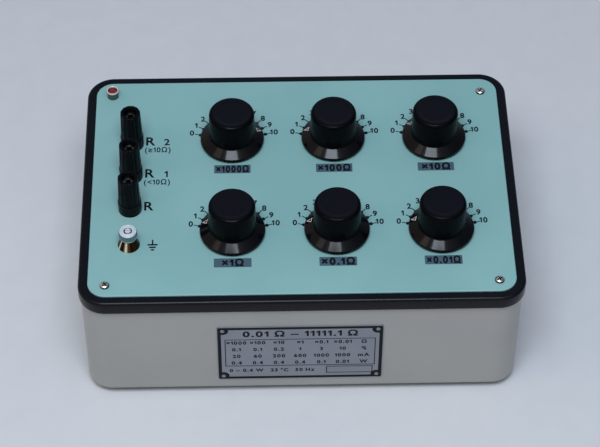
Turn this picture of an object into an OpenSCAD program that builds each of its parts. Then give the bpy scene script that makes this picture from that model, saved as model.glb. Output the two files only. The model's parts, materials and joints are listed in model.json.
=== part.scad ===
// Decade resistance box: six ten-step dials, three binding posts and an earth terminal on a flat
// panel, set in a black bezel over a pale case that stands on rubber feet.
// Millimetres, +Z up, +Y towards the back. The origin is under the middle of the box, on the table.

/* [Panel] */
// Width of the panel
panel_w = 283; // [275:1:310]
// Depth of the panel, front to back
panel_d = 195; // [190:1:220]
// Thickness of the panel
panel_t = 3; // [2:0.5:5]
// Corner radius of the panel
panel_r = 12; // [10:0.5:16]
// Rounding of the panel's top edge
panel_edge_r = 0.6; // [0.3:0.1:1]
// Height of the panel's top face above the table
panel_top = 100; // [95:1:130]

/* [Case and bezel] */
// Thickness of the case's walls and floor
wall = 3; // [2:0.5:4]
// Rounding of the case's bottom edge
case_edge_r = 3; // [1:0.5:5]
// Thickness of the bezel's outer skirt
skirt_t = 1.6; // [1:0.1:3]
// Height of the bezel's outer skirt
skirt_h = 9.8; // [7:0.2:14]
// Thickness of the bezel over the case's rim
flange_t = 2.5; // [2:0.1:4]
// Rounding of the bezel's outer top edge
bezel_edge_r = 2.2; // [1:0.1:2.4]
// Thickness of the bezel's inner lip
lip_t = 1.5; // [1:0.1:3]
// Width of the ledge that carries the panel
ledge_w = 3; // [1.5:0.1:4]
// Thickness of the ledge that carries the panel
ledge_t = 2; // [1.5:0.1:3]
// Height of the panel's face over the bezel
panel_proud = 0.7; // [0:0.1:1.2]
// Gap between the panel's edge and the bezel
panel_gap = 0.2; // [0.1:0.05:0.5]
// Gap between fixed pieces that slip over each other
slip_gap = 0.1; // [0.05:0.01:0.2]

/* [Screws and feet] */
// Diameter of the screws' shanks
screw_d = 3; // [2.5:0.1:4]
// Diameter of the screws' heads
screw_head_d = 6; // [5:0.1:7]
// Height of the screws' heads
screw_head_h = 2.1; // [1.5:0.1:2.5]
// Length of the screws under the head
screw_len = 14; // [10:1:20]
// Distance of the panel screws from the sides of the panel
screw_in_side = 11.5; // [10:0.5:16]
// Distance of the front panel screws from the panel's front edge
screw_in_front = 9; // [8.5:0.1:14]
// Distance of the back panel screws from the panel's back edge
screw_in_back = 12.6; // [9:0.1:16]
// Diameter of the case's corner bosses
boss_d = 8; // [7:0.1:9]
// Diameter of the rubber feet at the case
foot_d = 20; // [14:1:26]
// Height of the rubber feet
foot_h = 5; // [4:0.5:10]
// Distance of the feet's centres from the case's sides
foot_in = 28; // [20:1:40]

/* [Seal] */
// Outer diameter of the seal cup
seal_d = 8.4; // [7.6:0.1:10]
// Height of the seal cup
seal_h = 6.4; // [5:0.1:8]
// Wall and base thickness of the seal cup
seal_t = 0.8; // [0.5:0.1:1]

/* [Nameplate] */
// Width of the plate on the front wall
plate_w = 111; // [80:1:140]
// Height of the plate on the front wall
plate_h = 56; // [40:1:60]
// Thickness of the plate on the front wall
plate_t = 0.8; // [0.5:0.1:1.2]
// Corner radius of the plate
plate_corner_r = 1.5; // [0.5:0.1:3]
// Distance from the panel's face down to the plate's top edge
plate_drop = 28; // [16:1:30]
// Sideways place of the plate's middle
plate_x = -1.6; // [-20:0.1:20]
// Distance of the rivets from the plate's edges
rivet_in = 3.6; // [2.5:0.1:6]
// Diameter of the rivets' heads
rivet_head_d = 3; // [2.5:0.1:4]
// Diameter of the rivets' shanks
rivet_d = 2; // [1.5:0.1:2.2]

/* [Dials] */
// Sideways place of the left column of dials
dial_x = -45.8; // [-50:0.1:-40]
// Distance between the columns of dials
dial_pitch_x = 70; // [69:0.5:78]
// Place of the back row of dials, front to back
dial_y = 40; // [36:0.1:46]
// Distance between the rows of dials
dial_pitch_y = 84; // [76:0.5:90]
// Angle of one step of a dial
dial_step = 15; // [12:1:15]
// Angle of the pointer at zero, from the right-hand side
dial_zero = 165; // [160:1:170]

/* [Knobs] */
// Diameter of the knob's skirt
knob_skirt_d = 44; // [40:0.5:50]
// Height of the knob's top above the panel
knob_h = 28.4; // [24:0.1:32]
// Gap under the knob's skirt
knob_lift = 1.5; // [1:0.1:3]
// Height of the upright edge of the skirt
knob_rim_h = 2.3; // [1.5:0.1:3]
// Height of the top of the skirt's cone above the panel
knob_cone_h = 7.8; // [7:0.1:9]
// Diameter of the knob's grip where it leaves the cone
knob_low_d = 31.8; // [28:0.2:34]
// Diameter of the knob's grip at its shoulder
knob_high_d = 31.2; // [26:0.2:33]
// Rounding of the knob's shoulder
knob_shoulder_r = 2.6; // [1:0.1:4]
// Depth of the dished top of the knob
knob_dish = 0.4; // [0.2:0.1:0.8]
// Wall thickness of the knob
knob_wall = 2; // [1.5:0.1:3]
// Diameter of the hub inside the knob
knob_hub_d = 16; // [13:0.5:18]
// Thickness of the knob's top above its hollow
knob_roof_t = 5; // [4:0.1:6]
// Diameter of the grub screw in the knob
grub_d = 4; // [3:0.1:5]
// Height of the grub screw above the skirt's cone
grub_rise = 4; // [3:0.1:5]

/* [Switches] */
// Diameter of the switch spindle
spindle_d = 6; // [5:0.1:6.5]
// Diameter of the threaded bush
bush_d = 9.6; // [9:0.1:11]
// Width of the bush nut across its flats
bush_nut_af = 13; // [12.5:0.1:15]
// Thickness of the bush nut
bush_nut_t = 2.5; // [2:0.1:3]
// Thickness of the plate that carries the switch
carrier_t = 2.5; // [2:0.1:4]
// Distance from the panel's back to the contact plate's top
contact_drop = 24; // [23:0.5:30]
// Thickness of the contact plate
contact_plate_t = 3; // [2:0.1:5]
// Radius of the ring of contact studs
stud_ring_r = 24; // [22.5:0.1:25]
// Diameter of the contact studs' heads
stud_d = 4.4; // [3.5:0.1:4.8]
// Height of the contact studs' heads
stud_h = 2.5; // [1.5:0.1:3]
// Radius of the contact studs' shanks
stud_shank_r = 1.2; // [1:0.1:1.5]
// Length of the contact studs' tails under the plate
stud_tail = 4; // [3:0.1:6]
// Length of the spindle's end under the contact plate
spindle_tail = 2; // [1:0.1:3]
// Diameter of the pillars that hold the contact plate
pillar_d = 5; // [4.5:0.1:6]
// Thickness of the wiper's leaf
brush_t = 0.8; // [0.4:0.1:1.2]
// Width of the wiper's leaf
brush_w = 4.4; // [3:0.1:6]
// Wall of the wiper's hub round the spindle
wiper_hub_wall = 3; // [2:0.1:4]
// Height of the wiper's hub above its leaf
wiper_hub_h = 5; // [3:0.1:6]
// Outer radius of the star wheel that makes the steps
star_r = 11; // [10:0.1:12]
// Depth of the notches in the star wheel
star_depth = 1.2; // [0.6:0.1:1.6]
// Thickness of the star wheel
star_t = 4; // [3:0.1:5]
// Diameter of the stop pins
stop_d = 3; // [2.5:0.1:3.4]
// Diameter of the coil bobbins
bobbin_d = 7.5; // [6:0.1:9]
// Length of the coil bobbins
bobbin_len = 20; // [12:0.5:28]
// Diameter of the connecting wires
wire_d = 1.6; // [1:0.1:2.5]

/* [Binding posts] */
// Distance of the row of terminals from the panel's left edge
post_in = 26.5; // [22:0.5:31]
// Place of the rearmost binding post, front to back
post_y = 38.4; // [34:0.1:44]
// Distance between the binding posts
post_pitch = 30; // [24:0.5:32]
// Diameter of the posts' fixed collars
collar_d = 15.8; // [14:0.1:18]
// Height of the posts' fixed collars
collar_h = 6.5; // [5:0.1:9]
// Diameter of the flange on the turning cap
cap_flange_d = 16; // [15.4:0.1:18]
// Height of the flange on the turning cap
cap_flange_h = 3; // [2.5:0.1:4]
// Diameter of the cap's grip at the flange
cap_low_d = 15; // [14.2:0.1:15.4]
// Diameter of the cap's grip at its top
cap_high_d = 13.6; // [12.6:0.1:14]
// Height of the cap's top above the panel
cap_top = 31.5; // [28:0.5:36]
// Diameter of the recess in the cap's top
cap_recess_d = 9.8; // [9:0.1:10.6]
// Depth of the recess in the cap's top
cap_recess = 4; // [2:0.1:5]
// Diameter of the post's stud
post_stud_d = 6.4; // [6:0.1:7]
// Length of the post's stud below its nut
post_tail = 8; // [6:0.5:12]
// Diameter of the plug socket in the stud
socket_d = 4; // [3.9:0.1:4.2]
// Depth of the plug socket in the stud
socket_len = 14; // [10:0.5:16]
// Lift of the cap from closed to fully open
cap_lift = 4; // [3:0.1:5]

/* [Earth terminal] */
// Place of the earth terminal, front to back
earth_y = -53.4; // [-60:0.1:-50]
// Diameter of the foot of the earth terminal's cone
earth_low_d = 14.8; // [13:0.1:18]
// Diameter of the top of the earth terminal's cone
earth_high_d = 9; // [8:0.1:12]
// Height of the earth terminal's cone
earth_cone_h = 8; // [5:0.1:9]
// Diameter of the knurled nut
earth_nut_d = 12.4; // [10:0.1:14]
// Height of the knurled nut
earth_nut_h = 4.6; // [4:0.1:8]
// Diameter of the earth terminal's stud
earth_stud_d = 4; // [3.5:0.1:5]
// Length of the earth terminal's stud below the panel
earth_tail = 10; // [8:0.5:14]

/* [Hidden] */
$fn = 64;
// Clearance of a fixed shank in its hole, and of a running shaft in its bearing
fit_gap = 0.05;
// Clearance between faces of pieces that move past each other
run_gap = 0.3;
// Overreach of a cutting shape past the face it cuts
cut = 1;
// Chamfers on small and on larger edges
edge_cut = 0.4;
rim_cut = 0.6;
// Room past the end of a screw or shaft in a blind hole
end_gap = 0.5;

// Distances outwards from the panel's edge
lip_out = panel_gap + lip_t;
case_in = lip_out + slip_gap;
case_out = case_in + wall;
skirt_in = case_out + slip_gap;
skirt_out = skirt_in + skirt_t;
floor_in = case_out - case_edge_r - wall;

// Heights above the table
panel_low = panel_top - panel_t;
bezel_top = panel_top - panel_proud;
case_top = bezel_top - flange_t;
skirt_low = bezel_top - skirt_h;
ledge_low = panel_low - ledge_t;
case_low = foot_h;
floor_top = case_low + wall;

// Places of the panel screws; the last one is under the seal
screw_x = panel_w / 2 - screw_in_side;
screw_front = screw_in_front - panel_d / 2;
screw_back = panel_d / 2 - screw_in_back;
plain_screws = [[-screw_x, screw_front], [screw_x, screw_front], [screw_x, screw_back]];
sealed_screw = [-screw_x, screw_back];
panel_screw_places = concat(plain_screws, [sealed_screw]);
boss_rib_t = 2.5;
boss_rib_gap = 2;
boss_rib_top = ledge_low - boss_rib_gap;

// Feet
foot_x = panel_w / 2 + case_out - foot_in;
foot_y = panel_d / 2 + case_out - foot_in;
foot_places = [for (sx = [-1, 1], sy = [-1, 1]) [sx * foot_x, sy * foot_y]];
foot_recess = foot_h * 0.55;
foot_taper = 1.5;
foot_head_gap = 0.6;
foot_boss_end = 1.5;
foot_boss_h = screw_len - (foot_h - foot_recess) - wall + foot_boss_end;

// Nameplate on the front wall
case_front = -panel_d / 2 - case_out;
plate_z = panel_top - plate_drop - plate_h / 2;
rivet_head_h = 0.8;
rivet_places = [for (sx = [-1, 1], sz = [-1, 1])
  [plate_x + sx * (plate_w / 2 - rivet_in), plate_z + sz * (plate_h / 2 - rivet_in)]];

// The six decades, and the step at which each one rests
DECADES = ["x1000", "x100", "x10", "x1", "x0p1", "x0p01"];
REST_STEP = [10, 0, 1, 0, 0, 0];
steps = 10;
columns = 3;
function dial_at(i) =
  [dial_x + (i % columns) * dial_pitch_x, dial_y - floor(i / columns) * dial_pitch_y, 0];
function step_angle(n) = dial_zero - n * dial_step;
function pointer_angle(i) = step_angle(REST_STEP[i]);
dial_end = step_angle(steps);

// Bush and knob, above the panel
spindle_r = spindle_d / 2;
bush_r = bush_d / 2;
bush_show = 0.6;
bush_top = panel_top + bush_nut_t + bush_show;
hub_low = bush_top + end_gap;
spindle_short = 1;
spindle_top = panel_top + knob_h - knob_roof_t - spindle_short;
grub_z = panel_top + knob_cone_h + grub_rise;
grub_len = knob_hub_d / 2 - spindle_r;
grub_slot_w = 0.7;
grub_slot_depth = 1;
// Lip round the knob's dish, small cone at the root of its grip, and walls of its skirt
dish_lip = 0.7;
knob_root_w = 0.4;
knob_root_low = 0.2;
knob_root_high = 0.5;
skirt_rim_t = 0.8;
skirt_cone_t = 1;

// Switch levels, from the panel down
carrier_low = panel_low - carrier_t;
bearing_len = 4;
bearing_low = carrier_low - bearing_len;
star_gap = 0.5;
star_high = bearing_low - star_gap;
star_low = star_high - star_t;
contact_top = panel_low - contact_drop;
contact_low = contact_top - contact_plate_t;
brush_low = contact_top + stud_h + run_gap;
hub_high = brush_low + brush_t + wiper_hub_h;
tail_low = contact_low - stud_tail;
spindle_low = contact_low - spindle_tail;

// Switch radii
pillar_gap = 0.6;
pillar_x = stud_ring_r + stud_d / 2 + pillar_gap + pillar_d / 2;
plate_margin = 0.5;
contact_plate_r = pillar_x + pillar_d / 2 + plate_margin;
brush_short = 0.6;
brush_reach = stud_ring_r + stud_d / 2 - brush_short;
stop_gap = 0.9;
stop_ring_r = star_r + stop_d / 2 + stop_gap;
stop_half_angle = asin(stop_d / 2 / stop_ring_r);
lug_out_r = stop_ring_r + stop_d / 2;
stop_margin = 15;
lug_room_angle = 1.5;
lug_half_angle = stop_margin - stop_half_angle - lug_room_angle;
carrier_margin = 5;
carrier_r = lug_out_r + carrier_margin;
ear_margin = 1;
wiper_hub_r = spindle_r + wiper_hub_wall;
teeth = round(360 / dial_step);

// Detent spring, tangent to the front of the star wheel
nose_r = 1.4;
leaf_t = 0.5;
leaf_y = -(star_r + run_gap + nose_r);
leaf_post_r = 2;
leaf_post_x = -11;
leaf_tail = 3;
leaf_in = 0.5;

// Coils, hung in a ring under the contact plate
coil_count = 10;
coil_gap = 0.85;
coil_ring_r = (bobbin_d + coil_gap) / (2 * sin(180 / coil_count));
bobbin_core_r = bobbin_d * 0.27;
bobbin_flange_t = 1;
bobbin_peg_r = 1;
peg_short = 1;
winding_in = 0.4;
winding_r = bobbin_d / 2 - winding_in;

// Connecting wires run level, just under the tails of the studs
wire_r = wire_d / 2;
wire_z = tail_low - wire_r - fit_gap;
lane_y = dial_y - dial_pitch_y / 2;
lane_gap = 6;
front_lane_y = dial_y - dial_pitch_y - contact_plate_r - lane_gap;
function stud_at(i, n) =
  dial_at(i) + stud_ring_r * [cos(step_angle(n)), sin(step_angle(n)), 0];
function tail_at(i) = dial_at(i) + [0, -stud_ring_r, 0];

// Binding posts
POSTS = ["r2", "r1", "r"];
post_x = post_in - panel_w / 2;
function post_at(k) = [post_x, post_y - k * post_pitch, 0];
post_stud_r = post_stud_d / 2;
shoulder_w = 1.4;
shoulder_r = post_stud_r + shoulder_w;
shoulder_h = 1.2;
spigot_wall = 1;
spigot_r = post_stud_r + spigot_wall;
post_washer_t = 3;
post_nut_af = 10;
post_nut_t = 4;
post_stud_low = panel_low - post_washer_t - post_nut_t - post_tail;
post_stud_top = cap_top - cap_recess;
cap_gap = 0.2;
cap_low = collar_h + cap_gap;
insert_gap = 0.4;
insert_low = collar_h + insert_gap;
insert_wall = 1.3;
insert_r = post_stud_r + insert_wall;
insert_flange_w = 1;
insert_flange_r = insert_r + insert_flange_w;
insert_flange_h = 1.2;
insert_len = 13;
insert_top = insert_low + insert_len;
wire_hole_r = 1.1;
wire_hole_z = collar_h + cap_lift / 2;
flutes = 12;
flute_r = 1;
flute_start = 1.2;
flange_slope = 0.8;
cap_edge = 0.5;

// Earth terminal
earth_at = [post_x, earth_y, panel_top];
earth_stud_r = earth_stud_d / 2;
earth_washer_t = 0.8;
earth_washer_z = earth_cone_h + run_gap;
earth_nut_z = earth_washer_z + earth_washer_t + run_gap;
earth_stud_show = 0.4;
earth_stud_top = earth_nut_z + earth_nut_h + earth_stud_show;
earth_stud_len = panel_t + earth_tail;
earth_lock_af = earth_stud_d * 1.75;
earth_lock_t = earth_stud_d * 0.8;
knurls = 36;
knurl_depth = 0.35;
knurl_room = 0.1;
nut_low_cut = 0.6;
nut_high_cut = 0.8;
nut_recess = 0.4;
nut_recess_w = 1;
earth_washer_in = 0.5;
earth_rim_h = 0.8;
earth_slot_w = 0.9;
earth_slot_depth = 1.2;

// Points of an arc about (x, y), from one angle to another
function arc(x, y, r, from, to, pieces) =
  [for (i = [0 : pieces]) let (a = from + (to - from) * i / pieces) [x + r * cos(a), y + r * sin(a)]];

// Rectangle with round corners
module rounded_rect(w, d, r) {
  square([w, d - 2 * r], center = true);
  square([w - 2 * r, d], center = true);
  for (sx = [-1, 1], sy = [-1, 1])
    translate([sx * (w / 2 - r), sy * (d / 2 - r)])
      circle(r);
}

// The panel's outline, moved outwards by a distance
module panel_outline(out) {
  rounded_rect(panel_w + 2 * out, panel_d + 2 * out, panel_r + out);
}

// A profile carried round the panel's edge: x outwards from the edge, y up
module round_panel_edge() {
  for (k = [0 : 3]) {
    along = k % 2 == 0 ? panel_d : panel_w;
    across = k % 2 == 0 ? panel_w : panel_d;
    rotate(90 * k) {
      translate([across / 2, 0, 0])
        rotate([90, 0, 0])
          linear_extrude(along - 2 * panel_r, center = true)
            children();
      translate([across / 2 - panel_r, along / 2 - panel_r, 0])
        rotate_extrude(angle = 90)
          translate([panel_r, 0])
            children();
    }
  }
}

// A washer or sleeve standing on z
module tube(outer_r, inner_r, z, h) {
  translate([0, 0, z])
    difference() {
      cylinder(r = outer_r, h = h);
      translate([0, 0, -cut])
        cylinder(r = inner_r, h = h + 2 * cut);
    }
}

// A hexagon nut standing on z, given its width across the flats
module hex_nut(af, inner_r, z, h) {
  translate([0, 0, z])
    difference() {
      cylinder(r = af / 2 / cos(30), h = h, $fn = 6);
      translate([0, 0, -cut])
        cylinder(r = inner_r, h = h + 2 * cut);
    }
}

// A pan-head screw with a crossed recess, its head standing on z = 0
module pan_screw(len, head_d, head_h) {
  dome_r = head_h * 0.7;
  recess = [head_d * 0.62, head_d * 0.13, head_h * 0.8];
  difference() {
    rotate_extrude()
      polygon(concat(
        [[0, -len], [screw_d / 2, -len], [screw_d / 2, 0], [head_d / 2, 0]],
        arc(head_d / 2 - dome_r, head_h - dome_r, dome_r, 0, 90, 6),
        [[0, head_h]]
      ));
    for (a = [0, 90])
      rotate(a)
        translate([0, 0, head_h])
          cube(recess, center = true);
  }
}

// Pale box with four bosses for the panel screws, each tied to the walls by two ribs
module case() {
  wall_profile = concat(
    [[case_in, case_top], [case_in, floor_top], [floor_in, floor_top], [floor_in, case_low]],
    arc(case_out - case_edge_r, case_low + case_edge_r, case_edge_r, -90, 0, 6),
    [[case_out, case_top]]
  );
  color("gainsboro")
    difference() {
      union() {
        round_panel_edge()
          polygon(wall_profile);
        translate([0, 0, case_low])
          linear_extrude(wall)
            panel_outline(floor_in);
        for (p = panel_screw_places) {
          sx = sign(p.x);
          sy = sign(p.y);
          translate([p.x, p.y, floor_top - cut])
            cylinder(d = boss_d, h = panel_low - floor_top + cut);
          boss_rib(p, [sx * (panel_w / 2 + case_in) - p.x, 0]);
          boss_rib(p, [0, sy * (panel_d / 2 + case_in) - p.y]);
        }
        for (p = foot_places)
          translate([p.x, p.y, floor_top - cut])
            cylinder(d = boss_d, h = foot_boss_h + cut);
      }
      for (p = panel_screw_places)
        translate([p.x, p.y, panel_low - screw_len])
          cylinder(d = screw_d + 2 * fit_gap, h = screw_len + cut);
      for (p = foot_places)
        translate([p.x, p.y, case_low - cut])
          cylinder(d = screw_d + 2 * fit_gap, h = foot_recess - foot_h + screw_len + cut + end_gap);
      for (p = rivet_places)
        translate([p[0], case_front - cut, p[1]])
          rotate([-90, 0, 0])
            cylinder(d = rivet_d + 2 * fit_gap, h = wall + 2 * cut);
    }
}

// A rib from a corner boss to the wall that lies at a reach from it
module boss_rib(place, reach) {
  long = abs(reach.x + reach.y) + cut;
  size = reach.x == 0 ? [boss_rib_t, long] : [long, boss_rib_t];
  middle = place + reach / 2 + [sign(reach.x), sign(reach.y)] * cut / 2;
  translate([middle.x, middle.y, floor_top - cut])
    linear_extrude(boss_rib_top - floor_top + cut)
      square(size, center = true);
}

// Black frame: a skirt outside the case's wall, a lip inside it and a ledge under the panel
module bezel() {
  profile = concat(
    [[-ledge_w, ledge_low], [lip_out, ledge_low], [lip_out, case_top], [skirt_in, case_top]],
    [[skirt_in, skirt_low], [skirt_out, skirt_low]],
    arc(skirt_out - bezel_edge_r, bezel_top - bezel_edge_r, bezel_edge_r, 0, 90, 6),
    [[panel_gap, bezel_top], [panel_gap, panel_low], [-ledge_w, panel_low]]
  );
  color([0.09, 0.1, 0.12])
    round_panel_edge()
      polygon(profile);
}

// Pale blue-green panel, drilled for the switches, terminals and screws
module panel() {
  edge = concat(
    [[-panel_edge_r, panel_low], [0, panel_low]],
    arc(-panel_edge_r, panel_top - panel_edge_r, panel_edge_r, 0, 90, 4)
  );
  color([0.49, 0.67, 0.7])
    difference() {
      union() {
        translate([0, 0, panel_low])
          linear_extrude(panel_t)
            panel_outline(-panel_edge_r);
        round_panel_edge()
          polygon(edge);
      }
      for (i = [0 : len(DECADES) - 1])
        panel_hole(dial_at(i), bush_r + slip_gap);
      for (k = [0 : len(POSTS) - 1])
        panel_hole(post_at(k), spigot_r + slip_gap);
      panel_hole(earth_at, earth_stud_r + slip_gap);
      for (p = panel_screw_places)
        panel_hole(p, screw_d / 2 + slip_gap);
    }
}

// A round hole right through the panel
module panel_hole(place, r) {
  translate([place.x, place.y, panel_low - cut])
    cylinder(r = r, h = panel_t + 2 * cut);
}

// Four screws that hold the panel and bezel down on the case's bosses
module panel_screws() {
  color("silver") {
    for (p = plain_screws)
      translate([p.x, p.y, panel_top])
        pan_screw(screw_len - panel_t, screw_head_d, screw_head_h);
    translate([sealed_screw.x, sealed_screw.y, panel_top + seal_t])
      pan_screw(screw_len - panel_t, screw_head_d, screw_head_h);
  }
}

// Metal cup under the head of the sealed screw
module seal_cup() {
  color([0.8, 0.78, 0.74])
    translate([sealed_screw.x, sealed_screw.y, panel_top])
      difference() {
        cylinder(d = seal_d, h = seal_h);
        translate([0, 0, seal_t])
          cylinder(d = seal_d - 2 * seal_t, h = seal_h);
        translate([0, 0, -cut])
          cylinder(r = screw_d / 2 + slip_gap, h = seal_t + 2 * cut);
      }
}

// Wax poured over the sealed screw, a little hollow at the top
module seal_wax() {
  wax_low = seal_t + screw_head_h + fit_gap;
  wax_r = seal_d / 2 - seal_t - fit_gap;
  wax_sunk = 0.3;
  wax_top = seal_h - wax_sunk;
  wax_dip = 0.4;
  color([0.62, 0.13, 0.12])
    translate([sealed_screw.x, sealed_screw.y, panel_top])
      rotate_extrude()
        polygon([
          [0, wax_low], [wax_r, wax_low], [wax_r, wax_top],
          [wax_r * 0.8, wax_top], [wax_r * 0.5, wax_top - wax_dip], [0, wax_top - wax_dip]
        ]);
}

// Four tapered rubber feet, recessed for their screws
module feet() {
  head_room = screw_head_d / 2 + foot_head_gap;
  color([0.12, 0.12, 0.12])
    for (p = foot_places)
      translate([p.x, p.y, 0])
        rotate_extrude()
          polygon([
            [head_room, 0], [foot_d / 2 - foot_taper - rim_cut, 0], [foot_d / 2 - foot_taper, rim_cut],
            [foot_d / 2, foot_h], [screw_d / 2 + slip_gap, foot_h],
            [screw_d / 2 + slip_gap, foot_recess], [head_room, foot_recess]
          ]);
}

// Screws that hold the feet to the case's floor
module foot_screws() {
  color("silver")
    for (p = foot_places)
      translate([p.x, p.y, foot_recess])
        mirror([0, 0, 1])
          pan_screw(screw_len, screw_head_d, screw_head_h);
}

// Plain metal plate riveted to the front wall
module nameplate() {
  color([0.72, 0.74, 0.76])
    difference() {
      translate([plate_x, case_front, plate_z])
        rotate([90, 0, 0])
          linear_extrude(plate_t)
            rounded_rect(plate_w, plate_h, plate_corner_r);
      for (p = rivet_places)
        translate([p[0], case_front - plate_t - cut, p[1]])
          rotate([-90, 0, 0])
            cylinder(d = rivet_d + 2 * fit_gap, h = plate_t + 2 * cut);
    }
}

// Four round-headed rivets at the plate's corners
module nameplate_rivets() {
  head_r = rivet_head_d / 2;
  color([0.6, 0.61, 0.63])
    for (p = rivet_places)
      translate([p[0], case_front - plate_t, p[1]])
        rotate([90, 0, 0])
          rotate_extrude()
            polygon(concat(
              [[0, -plate_t - wall], [rivet_d / 2, -plate_t - wall], [rivet_d / 2, 0], [head_r, 0]],
              [for (a = [15 : 15 : 90]) [head_r * cos(a), rivet_head_h * sin(a)]]
            ));
}

// Threaded bush of a switch, with the plate behind the panel that carries its pillars and stop pins
module switch_bushes() {
  color("goldenrod")
    for (i = [0 : len(DECADES) - 1])
      translate(dial_at(i))
        difference() {
          union() {
            translate([0, 0, bearing_low])
              cylinder(r = bush_r, h = bush_top - bearing_low);
            translate([0, 0, carrier_low])
              linear_extrude(carrier_t)
                carrier_outline();
            for (a = [dial_zero + stop_margin, dial_end - stop_margin])
              rotate(a)
                translate([stop_ring_r, 0, star_low])
                  cylinder(d = stop_d, h = carrier_low - star_low + carrier_t / 2);
          }
          translate([0, 0, bearing_low - cut])
            cylinder(r = spindle_r + fit_gap, h = bush_top - bearing_low + 2 * cut);
        }
}

// Outline of the plate behind the panel: a disc with an ear for each pillar
module carrier_outline() {
  circle(carrier_r);
  square([2 * pillar_x, pillar_d + 2 * ear_margin], center = true);
  for (sx = [-1, 1])
    translate([sx * pillar_x, 0])
      circle(d = pillar_d + 2 * ear_margin);
}

// Nuts that clamp the switches to the panel, hidden in the knobs
module bush_nuts() {
  color("silver")
    for (i = [0 : len(DECADES) - 1])
      translate(dial_at(i))
        hex_nut(bush_nut_af, bush_r + fit_gap, panel_top, bush_nut_t);
}

// Two pillars to each switch, between its carrier and its contact plate
module plate_pillars() {
  bore_len = pillar_bore_len();
  color("goldenrod")
    for (i = [0 : len(DECADES) - 1], sx = [-1, 1])
      translate(dial_at(i) + [sx * pillar_x, 0, contact_top])
        difference() {
          cylinder(d = pillar_d, h = carrier_low - contact_top);
          translate([0, 0, -cut])
            cylinder(r = screw_d / 2 + fit_gap, h = bore_len + cut);
        }
}

// Depth of the tapped hole in a pillar
function pillar_bore_len() = screw_len - contact_plate_t + end_gap;

// Screws that hold each contact plate to its pillars
module pillar_screws() {
  color("silver")
    for (i = [0 : len(DECADES) - 1], sx = [-1, 1])
      translate(dial_at(i) + [sx * pillar_x, 0, contact_low])
        mirror([0, 0, 1])
          pan_screw(screw_len, screw_head_d, screw_head_h);
}

// Round insulating plate of a switch, drilled for its studs, pillars and coils
module contact_plates() {
  color([0.36, 0.2, 0.12])
    for (i = [0 : len(DECADES) - 1])
      translate(dial_at(i) + [0, 0, contact_low])
        difference() {
          cylinder(r = contact_plate_r, h = contact_plate_t);
          plate_hole(0, 0, spindle_r + fit_gap);
          for (n = [0 : steps])
            plate_hole(stud_ring_r, step_angle(n), stud_shank_r + fit_gap);
          plate_hole(stud_ring_r, -90, stud_shank_r + fit_gap);
          for (a = [0, 180])
            plate_hole(pillar_x, a, screw_d / 2 + slip_gap);
          for (c = [1 : coil_count])
            plate_hole(coil_ring_r, coil_angle(c), bobbin_peg_r + fit_gap);
        }
}

// A hole through a contact plate at a radius and an angle
module plate_hole(ring_r, angle, r) {
  rotate(angle)
    translate([ring_r, 0, -cut])
      cylinder(r = r, h = contact_plate_t + 2 * cut);
}

function coil_angle(c) = 360 * (c - 0.5) / coil_count;

// Eleven studs to each switch, one for each step
module contact_studs() {
  color("gold")
    for (i = [0 : len(DECADES) - 1], n = [0 : steps])
      translate(stud_at(i, n))
        rotate_extrude()
          polygon([
            [0, tail_low], [stud_shank_r, tail_low], [stud_shank_r, contact_top],
            [stud_d / 2, contact_top], [stud_d / 2, contact_top + stud_h - edge_cut],
            [stud_d / 2 - edge_cut, contact_top + stud_h], [0, contact_top + stud_h]
          ]);
}

// Half ring under the other end of each wiper, with a tail through the plate
module collector_arcs() {
  span = 164;
  color("gold")
    for (i = [0 : len(DECADES) - 1])
      translate(dial_at(i)) {
        rotate(-90 - span / 2)
          rotate_extrude(angle = span)
            translate([stud_ring_r - stud_d / 2, contact_top])
              square([stud_d, stud_h]);
        translate([0, -stud_ring_r, tail_low])
          cylinder(r = stud_shank_r, h = contact_top - tail_low + stud_h / 2);
      }
}

// Leaf spring with a rounded nose in the star wheel's notch, on a post under the carrier
module detent_springs() {
  leaf_h = star_t - 2 * leaf_in;
  color("lightsteelblue")
    for (i = [0 : len(DECADES) - 1])
      translate(dial_at(i)) {
        translate([leaf_post_x, leaf_y - leaf_t, star_low])
          cylinder(r = leaf_post_r, h = carrier_low - star_low);
        translate([leaf_post_x, leaf_y - leaf_t, star_low + leaf_in])
          cube([leaf_tail - leaf_post_x, leaf_t, leaf_h]);
        translate([0, leaf_y - leaf_t / 2, star_low + leaf_in])
          cylinder(r = nose_r, h = leaf_h);
      }
}

// Ten bobbins to each decade, pegged under the contact plate
module coil_bobbins() {
  r = bobbin_d / 2;
  low = contact_low - bobbin_len;
  color([0.85, 0.82, 0.7])
    for (i = [0 : len(DECADES) - 1], c = [1 : coil_count])
      translate(coil_at(i, c))
        rotate_extrude()
          polygon([
            [0, low], [r, low], [r, low + bobbin_flange_t], [bobbin_core_r, low + bobbin_flange_t],
            [bobbin_core_r, contact_low - bobbin_flange_t], [r, contact_low - bobbin_flange_t],
            [r, contact_low], [bobbin_peg_r, contact_low],
            [bobbin_peg_r, contact_top - peg_short], [0, contact_top - peg_short]
          ]);
}

function coil_at(i, c) =
  dial_at(i) + coil_ring_r * [cos(coil_angle(c)), sin(coil_angle(c)), 0];

// Resistance wire wound on the bobbins
module coil_windings() {
  low = contact_low - bobbin_len + bobbin_flange_t + fit_gap;
  long = bobbin_len - 2 * bobbin_flange_t - 2 * fit_gap;
  color("peru")
    for (i = [0 : len(DECADES) - 1], c = [1 : coil_count])
      translate(coil_at(i, c))
        tube(winding_r, bobbin_core_r + fit_gap, low, long);
}

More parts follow.
